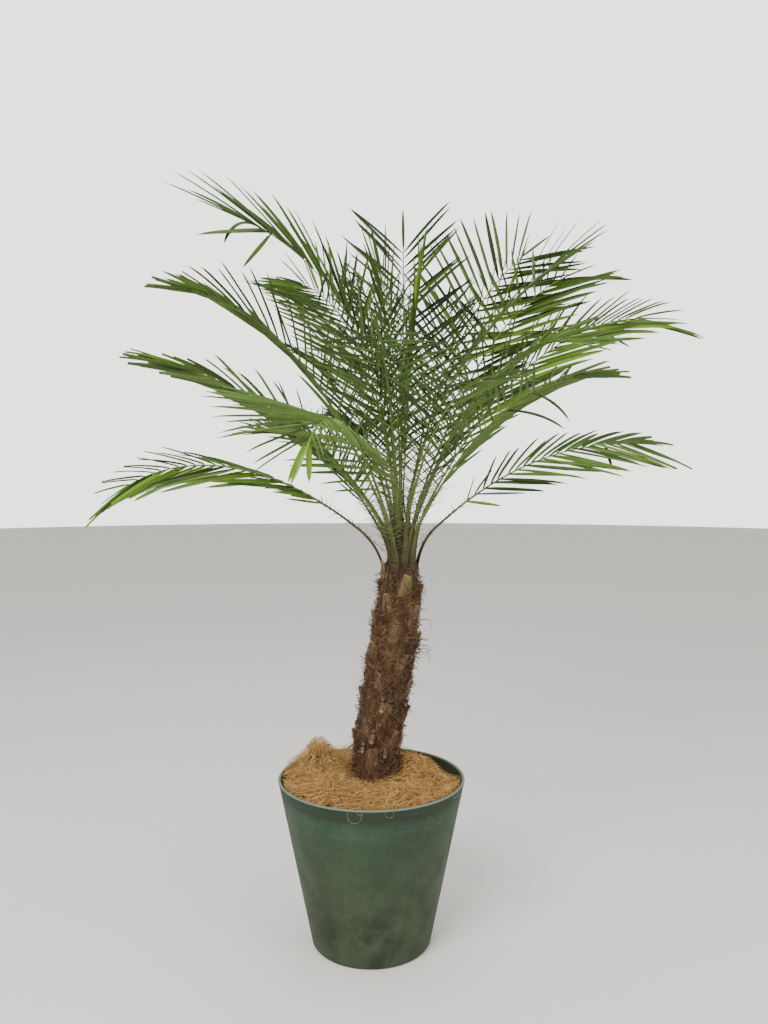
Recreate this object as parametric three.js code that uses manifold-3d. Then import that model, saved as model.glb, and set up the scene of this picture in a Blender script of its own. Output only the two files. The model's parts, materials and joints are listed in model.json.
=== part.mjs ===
// A pygmy date palm (Phoenix roebelenii) in a round planter.
//
// Millimetres, +Z up. The origin is the centre of the planter's flat underside, and the
// palm leans towards +X. Angles called turn are measured round +Z from +X, so 90 is +Y.

import * as THREE from 'three';
import { mergeVertices } from 'three/addons/utils/BufferGeometryUtils.js';
import Module from 'manifold-3d';

const manifold = await Module();
manifold.setup();

// ---------------------------------------------------------------- driving dimensions

// What lies against its neighbour stays this far off it.
const GAP = 0.3;

const PLANTER = { height: 333, rimRadius: 187, footRadius: 119, wall: 6, floor: 8, edge: 3 };

const SOIL_LEVEL = 300;

// Loose coconut fibre on the soil: its level at the rim, the rings of its surface as parts of
// the rim's radius, and the heaps it is pushed up in, each by its place, height and spread.
const MULCH = {
  level: 324,
  rings: [1, 0.9, 0.76, 0.6, 0.42, 0.2],
  heaps: [
    { x: -112, y: 35, height: 52, spread: 52 },
    { x: -60, y: -95, height: 26, spread: 60 },
    { x: 62, y: -105, height: 24, spread: 62 },
    { x: 118, y: 30, height: 44, spread: 48 },
    { x: -10, y: 118, height: 26, spread: 58 },
  ],
};

// The stem stands a little off the planter's axis and swings over to topX by topZ.
const STEM = { footX: 5, topX: 57, bendFrom: 290, topZ: 760 };

// Radius of the stem at heights above the soil, from its flared foot to the growing head.
const STEM_PROFILE = [
  { z: SOIL_LEVEL + GAP, radius: 48 },
  { z: 322, radius: 45 },
  { z: 370, radius: 41 },
  { z: 480, radius: 42 },
  { z: 600, radius: 42 },
  { z: 680, radius: 38 },
  { z: 730, radius: 33 },
  { z: 772, radius: 30 },
  { z: 812, radius: 20 },
  { z: 846, radius: 11 },
];

// Stubs of shed fronds, wound up the stem by the golden angle. Their middles are sunk in the
// bark, and lift is the angle that they lean out by.
const STUBS = { count: 34, fromZ: 358, toZ: 744, width: 36, height: 46, depth: 22, sunk: 2, lift: 24 };

const GOLDEN_ANGLE = 137.5;

// Where the ribs leave the head: seat 0 is the outermost frond and seat 1 the innermost.
const SEAT = { outerZ: 764, innerZ: 838, outerRadius: 22, innerRadius: 6 };

// A rib is a slim three-sided bar, ridge up. Sizes at its root, where its leaflets start, and
// at its tip; bare is the part of its length that has no leaflets.
const RIB = { bare: 0.27, width: [9, 6, 2.6], height: [8, 5.5, 2.6], bareSteps: 4, leafPairs: 20 };

// A leaflet's root takes this part of the pitch between leaflets.
const ROOT_SHARE = 0.44;

// Leaflets stand off the rib by startAngle where they start, and by the frond's own fan angle
// at its tip; closing below 1 brings most of that change early. They are held up in a V that
// flattens towards the tip, and sag at the ends.
const LEAFLET = { startAngle: 58, closing: 0.75, vAngle: 34, tipFlattening: 0.7, sag: 0.07, terminal: 0.7 };

// Length of a leaflet as a part of the frond's longest, along the leafy part of the rib.
const LEAFLET_LENGTHS = [[0, 0.4], [0.12, 0.7], [0.4, 1], [0.65, 0.98], [1, 0.74]];

// To tell what passes what, a rib is split into this many round needles, and a leaflet is one
// needle whose root is this part of the leaflet's own.
const RIB_NEEDLES = 24;
const NEEDLE_SHARE = 0.8;

// Leaflets of different fronds pass each other with this much air. One that can't is swung
// aside by up to the largest of these angles, then shortened, and left out after that.
const CLEARANCE = 1.6;
const SWINGS = [0, 4, -4, 8, -8, 13, -13];
const SHORTENINGS = [1, 0.82, 0.64, 0.46, 0.3];

// turn, rise: the way a rib sets out, round the stem and above level
// rib, leaf:  length of the rib and of its longest leaflet
// droop:      how far the rib has bent over at its tip; late above 1 keeps the bend for later
// sway:       how far its turn has changed at its tip
// fan:        leaflet angle at the tip
// open:       how far its leaflets have unfolded, 1 being fully
const FROND = { late: 1, sway: 0, fan: 20, open: 1, leaf: 180 };
const FRONDS = [
  { name: 'low_left', turn: 179.9, rise: 47, rib: 645, droop: 74.8, sway: -25, late: 1.25,
    seat: 0.02, fan: 25, leaf: 170 },
  { name: 'low_right', turn: 20, rise: 53, rib: 620, droop: 54.5, sway: 5, late: 0.85,
    seat: 0.02, fan: 17, leaf: 185 },
  { name: 'left_middle', turn: 230, rise: 62, rib: 600, droop: 47, sway: -18, late: 0.8,
    seat: 0.16, fan: 12, leaf: 165 },
  { name: 'left_high', turn: 214, rise: 66, rib: 684, droop: 69, sway: 23, late: 1.8,
    seat: 0.46, fan: 8 },
  { name: 'left_tall', turn: 172.5, rise: 88.8, rib: 722, droop: 65.3, sway: 12, late: 1.75,
    seat: 0.62, fan: 13, leaf: 215 },
  { name: 'left_inner', turn: 236, rise: 84, rib: 540, droop: 72, sway: 6, late: 1.4,
    seat: 0.74, fan: 26, leaf: 170 },
  { name: 'front_left', turn: 249.5, rise: 55, rib: 646, droop: 83, sway: 13, late: 1.42,
    seat: 0.14, fan: 34, leaf: 190 },
  { name: 'front_high', turn: 262, rise: 77, rib: 560, droop: 70, sway: 4,
    seat: 0.52, fan: 26, leaf: 165 },
  { name: 'front_right', turn: 286, rise: 66, rib: 560, droop: 66, sway: -6, seat: 0.3, leaf: 165 },
  { name: 'right_front', turn: 308, rise: 62, rib: 635, droop: 75, sway: -15, late: 1.8,
    seat: 0.4, fan: 12 },
  { name: 'right_low', turn: 318, rise: 66, rib: 605, droop: 69, sway: -30, late: 1.1,
    seat: 0.12, fan: 15, leaf: 155 },
  { name: 'right_inner', turn: 324, rise: 82, rib: 600, droop: 48, sway: 12, seat: 0.8, fan: 22 },
  { name: 'right_wide', turn: 3, rise: 65, rib: 738, droop: 61, sway: 23, late: 1.7,
    seat: 0.36, fan: 22, leaf: 200 },
  { name: 'right_middle', turn: 23, rise: 70, rib: 725, droop: 47, sway: 14, late: 1.9,
    seat: 0.5, fan: 36, leaf: 190 },
  { name: 'right_high', turn: 43, rise: 75, rib: 730, droop: 42, sway: 1, late: 1.5,
    seat: 0.74, fan: 34, leaf: 200 },
  { name: 'back_right_low', turn: 60, rise: 57, rib: 610, droop: 40, sway: 8, seat: 0.12 },
  { name: 'back_right_high', turn: 62, rise: 71, rib: 620, droop: 26, sway: 16, seat: 0.46 },
  { name: 'back_upright', turn: 100, rise: 74, rib: 640, droop: 30, sway: 6, seat: 0.62 },
  { name: 'back_tall', turn: 83, rise: 84, rib: 635, droop: 24, sway: 7,
    seat: 0.9, fan: 31, leaf: 195 },
  { name: 'back_low', turn: 102, rise: 64, rib: 620, droop: 70, seat: 0.1 },
  { name: 'back_middle', turn: 116, rise: 68, rib: 640, droop: 48, seat: 0.34 },
  { name: 'back_left_low', turn: 124, rise: 47, rib: 540, droop: 25, sway: -5, seat: 0.06, fan: 24 },
  { name: 'back_left_high', turn: 134, rise: 86, rib: 690, droop: 67.6, sway: -6, late: 1.55,
    seat: 0.56, fan: 14, leaf: 180 },
  { name: 'back_left_wide', turn: 134, rise: 60, rib: 520, droop: 60, seat: 0.26, leaf: 150 },
  { name: 'young_right', turn: 10, rise: 89, rib: 502, droop: 6,
    seat: 1, open: 0.35, fan: 9, leaf: 130 },
  { name: 'young_left', turn: 268, rise: 83, rib: 505, droop: 36, sway: -14,
    seat: 1, open: 0.4, fan: 9, leaf: 140 },
];

const ROUND_STEPS = 48;
const STEM_STEPS = 20;

const COLOURS = {
  planter: 0x50766a,
  soil: 0x2e241c,
  mulch: 0xb8915a,
  stem: 0x5f4630,
  oldFrond: 0x4a6b34,
  youngFrond: 0x6f9440,
};

// ---------------------------------------------------------------- helpers

const radians = THREE.MathUtils.degToRad;

const palm = new THREE.Group();
palm.name = 'potted_pygmy_date_palm';

function addPart(name, geometry, color, roughness) {
  const material = new THREE.MeshStandardMaterial({ color, roughness, metalness: 0 });
  const mesh = new THREE.Mesh(geometry, material);
  mesh.name = name;
  palm.add(mesh);
}

// A profile of { radius, z } points turned round the Z axis.
function turned(profile, steps) {
  const points = profile.map(({ radius, z }) => new THREE.Vector2(radius, z));
  return new THREE.LatheGeometry(points, steps).rotateX(Math.PI / 2);
}

// Straight lines through [at, value] pairs.
function between(pairs, at) {
  const next = pairs.findIndex(([place]) => place >= at);
  if (next <= 0) {
    return next === 0 ? pairs[0][1] : pairs[pairs.length - 1][1];
  }
  const [fromPlace, fromValue] = pairs[next - 1];
  const [toPlace, toValue] = pairs[next];
  return THREE.MathUtils.mapLinear(at, fromPlace, toPlace, fromValue, toValue);
}

function toSolid(geometry) {
  const bare = new THREE.BufferGeometry();
  bare.setAttribute('position', geometry.getAttribute('position'));
  bare.setIndex(geometry.getIndex());
  const merged = mergeVertices(bare, 1e-3);
  const corners = merged.getIndex().array;
  const triVerts = [];
  for (let i = 0; i < corners.length; i += 3) {
    const [a, b, c] = corners.slice(i, i + 3);
    if (a !== b && b !== c && c !== a) {
      triVerts.push(a, b, c);
    }
  }
  const mesh = new manifold.Mesh({
    numProp: 3,
    vertProperties: new Float32Array(merged.getAttribute('position').array),
    triVerts: new Uint32Array(triVerts),
  });
  return new manifold.Manifold(mesh);
}

function toGeometry(solid) {
  const { vertProperties, triVerts } = solid.getMesh();
  const geometry = new THREE.BufferGeometry();
  geometry.setAttribute('position', new THREE.BufferAttribute(vertProperties, 3));
  geometry.setIndex(new THREE.BufferAttribute(triVerts, 1));
  geometry.computeVertexNormals();
  return geometry;
}

// ---------------------------------------------------------------- planter and what fills it

function planterRadius(z) {
  const { height, rimRadius, footRadius } = PLANTER;
  return footRadius + ((rimRadius - footRadius) * z) / height;
}

const innerRadius = (z) => planterRadius(z) - PLANTER.wall;

function planterGeometry() {
  const { height, floor, edge, wall } = PLANTER;
  const lip = wall / 3;
  return turned([
    { radius: 0, z: 0 },
    { radius: planterRadius(0) - edge, z: 0 },
    { radius: planterRadius(edge), z: edge },
    { radius: planterRadius(height - lip), z: height - lip },
    { radius: planterRadius(height) - lip, z: height },
    { radius: innerRadius(height) + lip, z: height },
    { radius: innerRadius(height - lip), z: height - lip },
    { radius: innerRadius(floor), z: floor },
    { radius: 0, z: floor },
  ], ROUND_STEPS);
}

// The walls are flat between the lathe's steps, so what fills the planter uses the same steps.
function soilGeometry() {
  const bottom = PLANTER.floor + GAP;
  return turned([
    { radius: 0, z: bottom },
    { radius: innerRadius(bottom) - GAP, z: bottom },
    { radius: innerRadius(SOIL_LEVEL) - GAP, z: SOIL_LEVEL },
    { radius: 0, z: SOIL_LEVEL },
  ], ROUND_STEPS);
}

function mulchLevel(x, y) {
  let level = MULCH.level;
  for (const heap of MULCH.heaps) {
    const away = Math.hypot(x - heap.x, y - heap.y) / heap.spread;
    level += heap.height * Math.exp(-away * away);
  }
  return level;
}

function mulchGeometry() {
  const bottom = SOIL_LEVEL + GAP;
  const rim = innerRadius(MULCH.level) - GAP;
  const flatOutside = (rim * (MULCH.rings[0] + MULCH.rings[1])) / 2;
  const geometry = turned([
    { radius: 0, z: bottom },
    { radius: innerRadius(bottom) - GAP, z: bottom },
    ...MULCH.rings.map((part) => ({ radius: rim * part, z: MULCH.level })),
    { radius: 0, z: MULCH.level },
  ], ROUND_STEPS);
  const places = geometry.getAttribute('position');
  for (let i = 0; i < places.count; i += 1) {
    const x = places.getX(i);
    const y = places.getY(i);
    if (places.getZ(i) > bottom && Math.hypot(x, y) < flatOutside) {
      places.setZ(i, mulchLevel(x, y));
    }
  }
  return geometry;
}

// ---------------------------------------------------------------- stem

function stemX(z) {
  const along = THREE.MathUtils.smoothstep(z, STEM.bendFrom, STEM.topZ);
  return THREE.MathUtils.lerp(STEM.footX, STEM.topX, along);
}

function stemRadius(z) {
  return between(STEM_PROFILE.map((ring) => [ring.z, ring.radius]), z);
}

// The stem without its stubs, grown on every side.
function barkSolid(grown) {
  const foot = STEM_PROFILE[0];
  const tip = STEM_PROFILE[STEM_PROFILE.length - 1];
  const profile = STEM_PROFILE.map(({ z, radius }) => ({ z, radius: radius + grown }));
  const geometry = turned([
    { radius: 0, z: foot.z - grown },
    { radius: foot.radius + grown, z: foot.z - grown },
    ...profile.slice(1, -1),
    { radius: tip.radius + grown, z: tip.z + grown },
    { radius: 0, z: tip.z + grown },
  ], STEM_STEPS);
  const places = geometry.getAttribute('position');
  for (let i = 0; i < places.count; i += 1) {
    places.setX(i, places.getX(i) + stemX(places.getZ(i)));
  }
  return toSolid(geometry);
}

// A stub is a flattened five-sided point, sunk in the bark and leaning out of it at the top.
function stubSolid(turn, z) {
  const geometry = new THREE.ConeGeometry(STUBS.width / 2, STUBS.height, 5, 1);
  geometry.rotateX(Math.PI / 2);
  geometry.scale(STUBS.depth / STUBS.width, 1, 1);
  geometry.rotateY(radians(STUBS.lift));
  geometry.translate(stemRadius(z) - STUBS.sunk, 0, 0);
  geometry.rotateZ(radians(turn));
  geometry.translate(stemX(z), 0, z);
  return toSolid(geometry);
}

function stemSolid() {
  let solid = barkSolid(0);
  for (let i = 0; i < STUBS.count; i += 1) {
    const z = THREE.MathUtils.lerp(STUBS.fromZ, STUBS.toZ, i / (STUBS.count - 1));
    solid = solid.add(stubSolid(i * GOLDEN_ANGLE, z));
  }
  return solid;
}

// ---------------------------------------------------------------- fronds

// Axes of a rib at a part of its length: on points along it, side to its right and
// ridge out of its upper face.
function ribAxes(frond, part) {
  const turn = radians(frond.turn + frond.sway * part);
  const rise = radians(frond.rise - frond.droop * part ** frond.late);
  const out = new THREE.Vector3(Math.cos(turn), Math.sin(turn), 0);
  const on = out.clone().multiplyScalar(Math.cos(rise)).setZ(Math.sin(rise));
  const side = new THREE.Vector3(Math.sin(turn), -Math.cos(turn), 0);
  const ridge = out.clone().multiplyScalar(-Math.sin(rise)).setZ(Math.cos(rise));
  return { on, side, ridge };
}

// The rib as stations at the given parts of its length.
function ribStations(frond, parts) {
  const root = radians(frond.turn);
  const radius = THREE.MathUtils.lerp(SEAT.outerRadius, SEAT.innerRadius, frond.seat);
  const z = THREE.MathUtils.lerp(SEAT.outerZ, SEAT.innerZ, frond.seat);
  const place = new THREE.Vector3(stemX(z) + radius * Math.cos(root), radius * Math.sin(root), z);
  const stations = [];
  let before = 0;
  for (const part of parts) {
    const middle = ribAxes(frond, (before + part) / 2);
    place.addScaledVector(middle.on, (part - before) * frond.rib);
    stations.push({ part, place: place.clone(), ...ribAxes(frond, part) });
    before = part;
  }
  return stations;
}

// Parts of a rib's length: even steps up to its leaflets, then the two sides of every root.
function ribParts() {
  const parts = [];
  for (let i = 0; i < RIB.bareSteps; i += 1) {
    parts.push((RIB.bare * i) / RIB.bareSteps);
  }
  const pitch = (1 - RIB.bare) / RIB.leafPairs;
  for (let i = 0; i < RIB.leafPairs; i += 1) {
    const start = RIB.bare + i * pitch;
    parts.push(start, start + pitch * ROOT_SHARE);
  }
  return parts;
}

// A size of the rib at a part of its length.
function ribSize([root, leafy, tip], part) {
  return between([[0, root], [RIB.bare, leafy], [1, tip]], part);
}

// Right, ridge and left corners of the rib at a station.
function ribCorners({ part, place, side, ridge }) {
  const half = ribSize(RIB.width, part) / 2;
  const third = ribSize(RIB.height, part) / 3;
  const corner = (across, up) => place.clone().addScaledVector(side, across).addScaledVector(ridge, up);
  return [corner(half, -third), corner(0, 2 * third), corner(-half, -third)];
}

// The way a leaflet points. hand is 1 on the rib's right and -1 on its left.
function leafletDirection(frond, station, hand, swing) {
  const leafy = (station.part - RIB.bare) / (1 - RIB.bare);
  const closed = leafy ** LEAFLET.closing;
  const spread = THREE.MathUtils.lerp(LEAFLET.startAngle * frond.open, frond.fan, closed);
  const angle = radians(spread + swing / 2);
  const lift = radians(LEAFLET.vAngle * (1 - LEAFLET.tipFlattening * leafy) + swing);
  const off = station.side.clone().multiplyScalar(hand * Math.cos(lift));
  off.addScaledVector(station.ridge, Math.sin(lift));
  const direction = station.on.clone().multiplyScalar(Math.cos(angle));
  direction.addScaledVector(off, Math.sin(angle));
  direction.z -= LEAFLET.sag;
  return direction.normalize();
}

function leafletLength(frond, part) {
  return frond.leaf * between(LEAFLET_LENGTHS, (part - RIB.bare) / (1 - RIB.bare));
}

// How close two tapering needles come: the distance between their axes less both radii there.
function airBetween(one, other) {
  const u = one.end.clone().sub(one.start);
  const v = other.end.clone().sub(other.start);
  const w = one.start.clone().sub(other.start);
  const [a, b, c, d, e] = [u.dot(u), u.dot(v), v.dot(v), u.dot(w), v.dot(w)];
  const cross = a * c - b * b;
  const clamp = (value) => THREE.MathUtils.clamp(value, 0, 1);
  let s = cross > 1e-6 ? clamp((b * e - c * d) / cross) : 0;
  const t = clamp((b * s + e) / c);
  s = clamp((b * t - d) / a);
  const apart = w.addScaledVector(u, s).addScaledVector(v, -t).length();
  const radius = (needle, at) => THREE.MathUtils.lerp(needle.startRadius, needle.endRadius, at);
  return apart - radius(one, s) - radius(other, t);
}

const needleBox = ({ start, end, startRadius }) => (
  new THREE.Box3().setFromPoints([start, end]).expandByScalar(startRadius + CLEARANCE)
);

function makeNeedle(owner, start, end, startRadius, endRadius) {
  const needle = { owner, start, end, startRadius, endRadius };
  needle.box = needleBox(needle);
  return needle;
}

function isClear(needle, placed) {
  return !placed.some((other) => other.owner !== needle.owner
    && other.box.intersectsBox(needle.box)
    && airBetween(needle, other) < CLEARANCE);
}

// Tip of a leaflet that passes everything placed before it, or null where none fits.
function placeLeaflet(frond, from, to, hand, placed) {
  const start = from.place.clone().add(to.place).multiplyScalar(0.5);
  const full = leafletLength(frond, from.part);
  const rootRadius = (from.place.distanceTo(to.place) * NEEDLE_SHARE) / 2;
  for (const shortening of SHORTENINGS) {
    for (const swing of SWINGS) {
      const direction = leafletDirection(frond, from, hand, swing);
      const tip = start.clone().addScaledVector(direction, full * shortening);
      const needle = makeNeedle(frond.name, start, tip, rootRadius, GAP);
      if (isClear(needle, placed)) {
        placed.push(needle);
        return tip;
      }
    }
  }
  return null;
}

function lastLeafletTip(frond, { place, on }) {
  return place.clone().addScaledVector(on, frond.leaf * LEAFLET.terminal);
}

// Needles that stand for the ribs and their last leaflets, so that nothing runs through one.
function ribNeedles(frond) {
  const parts = Array.from({ length: RIB_NEEDLES + 1 }, (_, i) => i / RIB_NEEDLES);
  const stations = ribStations(frond, parts);
  const radius = ({ part }) => (ribSize(RIB.height, part) * 2) / 3;
  const needles = stations.slice(1).map((station, i) => (
    makeNeedle(frond.name, stations[i].place, station.place, radius(stations[i]), radius(station))
  ));
  const end = stations[stations.length - 1];
  needles.push(makeNeedle(frond.name, end.place, lastLeafletTip(frond, end), radius(end), GAP));
  return needles;
}

// A frond is one closed skin: a three-sided rib with a leaflet drawn out of its side faces at
// every root, and a last leaflet drawn out of its end.
function frondGeometry(frond, placed) {
  const stations = ribStations(frond, ribParts());
  const corners = [];
  const faces = [];
  const add = (point) => corners.push(point) - 1;
  const rings = stations.map((station) => ribCorners(station).map(add));
  faces.push(rings[0]);
  for (let i = 1; i < rings.length; i += 1) {
    const near = rings[i - 1];
    const far = rings[i];
    const isRoot = i > RIB.bareSteps && (i - RIB.bareSteps) % 2 === 1;
    for (let k = 0; k < 3; k += 1) {
      const next = (k + 1) % 3;
      const hand = k === 0 ? 1 : -1;
      const tip = isRoot && k < 2 ? placeLeaflet(frond, stations[i - 1], stations[i], hand, placed) : null;
      if (tip) {
        const loop = [near[k], far[k], far[next], near[next]];
        const tipIndex = add(tip);
        loop.forEach((corner, j) => faces.push([corner, loop[(j + 1) % 4], tipIndex]));
      } else {
        faces.push([near[k], far[k], near[next]], [near[next], far[k], far[next]]);
      }
    }
  }
  const end = stations[stations.length - 1];
  const last = rings[rings.length - 1];
  const tip = add(lastLeafletTip(frond, end));
  last.forEach((corner, k) => faces.push([corner, tip, last[(k + 1) % 3]]));
  const geometry = new THREE.BufferGeometry().setFromPoints(corners);
  geometry.setIndex(faces.flat());
  return geometry;
}

// ---------------------------------------------------------------- the whole

const headRoom = barkSolid(GAP);

addPart('planter', planterGeometry(), COLOURS.planter, 0.8);
addPart('potting_soil', soilGeometry(), COLOURS.soil, 1);
addPart('coir_mulch', toGeometry(toSolid(mulchGeometry()).subtract(headRoom)), COLOURS.mulch, 1);
addPart('stem', toGeometry(stemSolid()), COLOURS.stem, 0.95);

const fronds = FRONDS.map((frond) => ({ ...FROND, ...frond }));
const placedNeedles = fronds.flatMap(ribNeedles);
for (const frond of fronds) {
  const color = new THREE.Color(COLOURS.oldFrond).lerp(new THREE.Color(COLOURS.youngFrond), frond.seat);
  const blade = toSolid(frondGeometry(frond, placedNeedles)).subtract(headRoom);
  addPart(`frond_${frond.name}`, toGeometry(blade), color, 0.55);
}

export default palm;
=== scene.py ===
"""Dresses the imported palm: planter, coconut fibre, bark, stubs, ribs, spines and leaflets.

Metres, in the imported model's frame: the origin is the centre of the planter's flat underside,
+Z is up and the stem leans towards +X. Tables give turns round +Z from +X, in degrees.
"""

import json
import math

import bpy
import numpy as np
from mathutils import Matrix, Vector, noise

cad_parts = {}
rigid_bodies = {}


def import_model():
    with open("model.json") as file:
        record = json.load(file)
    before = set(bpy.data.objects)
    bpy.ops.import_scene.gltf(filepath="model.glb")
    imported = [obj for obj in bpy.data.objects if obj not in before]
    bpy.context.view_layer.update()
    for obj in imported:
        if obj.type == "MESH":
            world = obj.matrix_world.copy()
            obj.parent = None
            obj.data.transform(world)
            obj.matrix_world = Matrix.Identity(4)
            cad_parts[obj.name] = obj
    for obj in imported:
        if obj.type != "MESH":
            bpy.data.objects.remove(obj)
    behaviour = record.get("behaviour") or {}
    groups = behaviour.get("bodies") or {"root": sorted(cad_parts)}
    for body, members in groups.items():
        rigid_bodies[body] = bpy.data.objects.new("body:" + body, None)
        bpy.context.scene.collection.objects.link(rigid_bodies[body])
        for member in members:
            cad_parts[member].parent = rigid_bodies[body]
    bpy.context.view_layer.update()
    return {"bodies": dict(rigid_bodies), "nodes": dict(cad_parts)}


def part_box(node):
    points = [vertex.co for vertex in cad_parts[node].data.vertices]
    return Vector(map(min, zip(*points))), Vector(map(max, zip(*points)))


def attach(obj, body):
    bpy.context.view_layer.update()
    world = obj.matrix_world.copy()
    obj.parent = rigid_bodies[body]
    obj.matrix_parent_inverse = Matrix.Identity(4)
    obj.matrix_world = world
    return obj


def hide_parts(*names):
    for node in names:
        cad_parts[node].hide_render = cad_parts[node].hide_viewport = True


bl_info = {
    "name": "Potted Palm",
    "version": (1, 0, 0),
    "blender": (4, 5, 0),
    "location": "View3D > Sidebar > Palm",
    "description": "Builds the planter, stem and crown of a potted palm",
    "category": "Add Mesh",
}

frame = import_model()
BODY = next(iter(frame["bodies"]))
FROND_NODES = sorted(name for name in frame["nodes"] if name.startswith("frond_"))
PLANTER_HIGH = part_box("planter")[1]
SOIL_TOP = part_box("potting_soil")[1].z

# ---------------------------------------------------------------- planter and coconut fibre

PLANTER_FLOOR = 0.008
# Where the planter's wall leaves its rounded foot, and how far under the rim it meets the lip.
WALL_FROM, LIP_DROP = 0.02, 0.012
# Centre of the painted shade low on the planter's front, where its dark blotches are heaviest.
FRONT_SHADE_PLACE = (-0.012, -0.130, 0.070)

SOIL_BOTTOM, SOIL_GAP, CRUMBS = 0.0083, 0.0004, 0.0035

# Heaps that the coconut fibre is pushed up in: x, y, height and spread.
HEAPS = [
    (-0.108, 0.042, 0.058, 0.040),
    (-0.085, -0.070, 0.022, 0.055),
    (0.062, -0.105, 0.016, 0.060),
    (0.088, 0.018, 0.030, 0.042),
    (-0.030, 0.118, 0.012, 0.050),
    (0.012, -0.062, -0.004, 0.034),
]
# The hollow it has sunk in: turn, spread in turn, depth, and the radii where it begins and is
# deepest. No strands grow where it is deeper than this share.
HOLLOW = (27, 21, 0.036, 0.132, 0.162)
BARE_HOLLOW = 0.45
COIR_LEVEL, COIR_GAP, COIR_RINGS, COIR_STEPS = 0.318, 0.0005, 34, 120
# How far the strands stand above the heap at most.
LOFT = 0.028

# Strands hanging over the rim: turn, reach past the rim, drop and sideways run.
STRAYS = [
    (-104, 0.004, 0.022, 0.030),
    (-76, 0.003, 0.013, -0.018),
    (-98, 0.002, 0.007, 0.014),
    (-35, 0.003, 0.008, 0.018),
    (158, 0.003, 0.010, 0.020),
    (88, 0.003, 0.011, -0.022),
]
STRAY_STATIONS = 40

# ---------------------------------------------------------------- stem

# The stem's line, and its radius at heights from its flared foot to the growing head.
STEM_FOOT_X, STEM_TOP_X = 0.005, 0.057
STEM_BEND_FROM, STEM_TOP_Z = 0.29, 0.76
STEM_HEIGHTS = [0.3003, 0.322, 0.37, 0.48, 0.6, 0.68, 0.73, 0.772, 0.812, 0.846]
STEM_RADII = [0.044, 0.042, 0.040, 0.042, 0.042, 0.038, 0.034, 0.026, 0.017, 0.010]
BARK_RINGS, BARK_STEPS = 250, 132
# The bark's relief fades out over this length below this height, and its hairs end at HAIR_TOP.
CALM_TOP, CALM_LENGTH, HAIR_TOP = 0.79, 0.05, 0.775
FIBRES, FIBRE_STATIONS = 120, 12

# Stubs of shed fronds, wound up the stem, and the heights that they look newer from.
STUB_COUNT, STUB_FROM_Z, STUB_TO_Z, STUB_HEIGHT = 34, 0.358, 0.744, 0.044
GOLDEN_ANGLE, FIRST_STUB_TURN = 137.5, -14.5
WORN_STUB_Z, FRESH_STUB_Z, CLEAN_CUT_Z = 0.6, 0.7, 0.52
# Each row of a stub from its foot to its cut top: share of its height, half width, thickness
# and how far it stands out of the bark. The arc goes round a row, in half widths and thicknesses.
STUB_ROWS = [
    (0.0, 0.0125, 0.004, -0.0030),
    (0.2, 0.0135, 0.006, -0.0010),
    (0.45, 0.0118, 0.0065, 0.0015),
    (0.7, 0.0096, 0.006, 0.0045),
    (0.9, 0.0078, 0.0055, 0.0080),
    (1.0, 0.0070, 0.0050, 0.0095),
]
STUB_ARC = [
    *((-1, 0), (-0.82, 0.62), (-0.35, 0.95), (0.05, 1.0), (0.4, 0.9)),
    *((0.85, 0.55), (1, 0), (0.5, -0.5), (-0.5, -0.5)),
]

# Tufts of loose fibre: turn, height, number of fibres and their length.
TUFTS = [
    (-12, 0.600, 16, 0.024),
    (-20, 0.570, 12, 0.018),
    (5, 0.640, 8, 0.016),
    (-30, 0.700, 7, 0.014),
    (-150, 0.655, 6, 0.012),
    (200, 0.520, 10, 0.018),
    (-15, 0.520, 8, 0.014),
    (120, 0.610, 12, 0.022),
    (70, 0.500, 10, 0.018),
    (160, 0.690, 7, 0.014),
    (-95, 0.335, 12, 0.018),
    (-140, 0.345, 10, 0.018),
    (-40, 0.340, 10, 0.018),
    (60, 0.350, 10, 0.018),
    (170, 0.345, 10, 0.018),
]

# Root tips that point down near the foot: turn, top, length and radius.
ROOT_TIPS = [
    (-106, 0.440, 0.030, 0.0052),
    (-94, 0.505, 0.034, 0.0050),
    (-91, 0.395, 0.026, 0.0038),
    (-70, 0.405, 0.024, 0.0040),
    (-128, 0.415, 0.026, 0.0042),
    (-20, 0.430, 0.028, 0.0048),
    (35, 0.420, 0.026, 0.0046),
    (92, 0.440, 0.030, 0.0050),
    (150, 0.425, 0.026, 0.0044),
    (188, 0.460, 0.028, 0.0046),
]
# A root tip's radius along it, beside its own.
ROOT_TIP_SHAPE = np.array((0.6, 0.85, 1, 1, 1, 1, 1, 0.82, 0.3))
ROOT_TIP_CORNERS = 8

# ---------------------------------------------------------------- fronds

# Ribs leave the head between these seats: 0 is the outermost frond and 1 the innermost.
SEAT_Z = (0.764, 0.838)
SEAT_RADIUS = (0.022, 0.006)
# The stalks lean in together at their seats by this much, and stand free from this part on.
HUG, HUG_TO = 0.011, 0.34
# A rib's clasping foot: how far it reaches down the head below its seat, and the part of the
# rib where it has drawn together into a stalk. Leaflets start where the bare part ends.
FOOT_DROP, FOOT_JOIN, BARE = 0.046, 0.13, 0.27
RIB_WIDTHS = (0.009, 0.006, 0.0026)
RIB_HEIGHTS = (0.008, 0.0055, 0.0026)
# Corners of a rib's cross-section: a channelled upper face over a rounded keel.
RIB_SECTION = np.array(
    [(-0.72, 0.52), (0, 0.36), (0.72, 0.52), (1, 0.1), (0.74, -0.48), (0, -0.82), (-0.74, -0.48), (-1, 0.1)]
)
# Steps in which a stalk's colour goes from its brown sheath to green.
STALK_STEPS = 8
SHEATH = (0.050, 0.031, 0.014)
SPINE_PITCH, SPINE_FROM = 0.0080, 0.02

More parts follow.
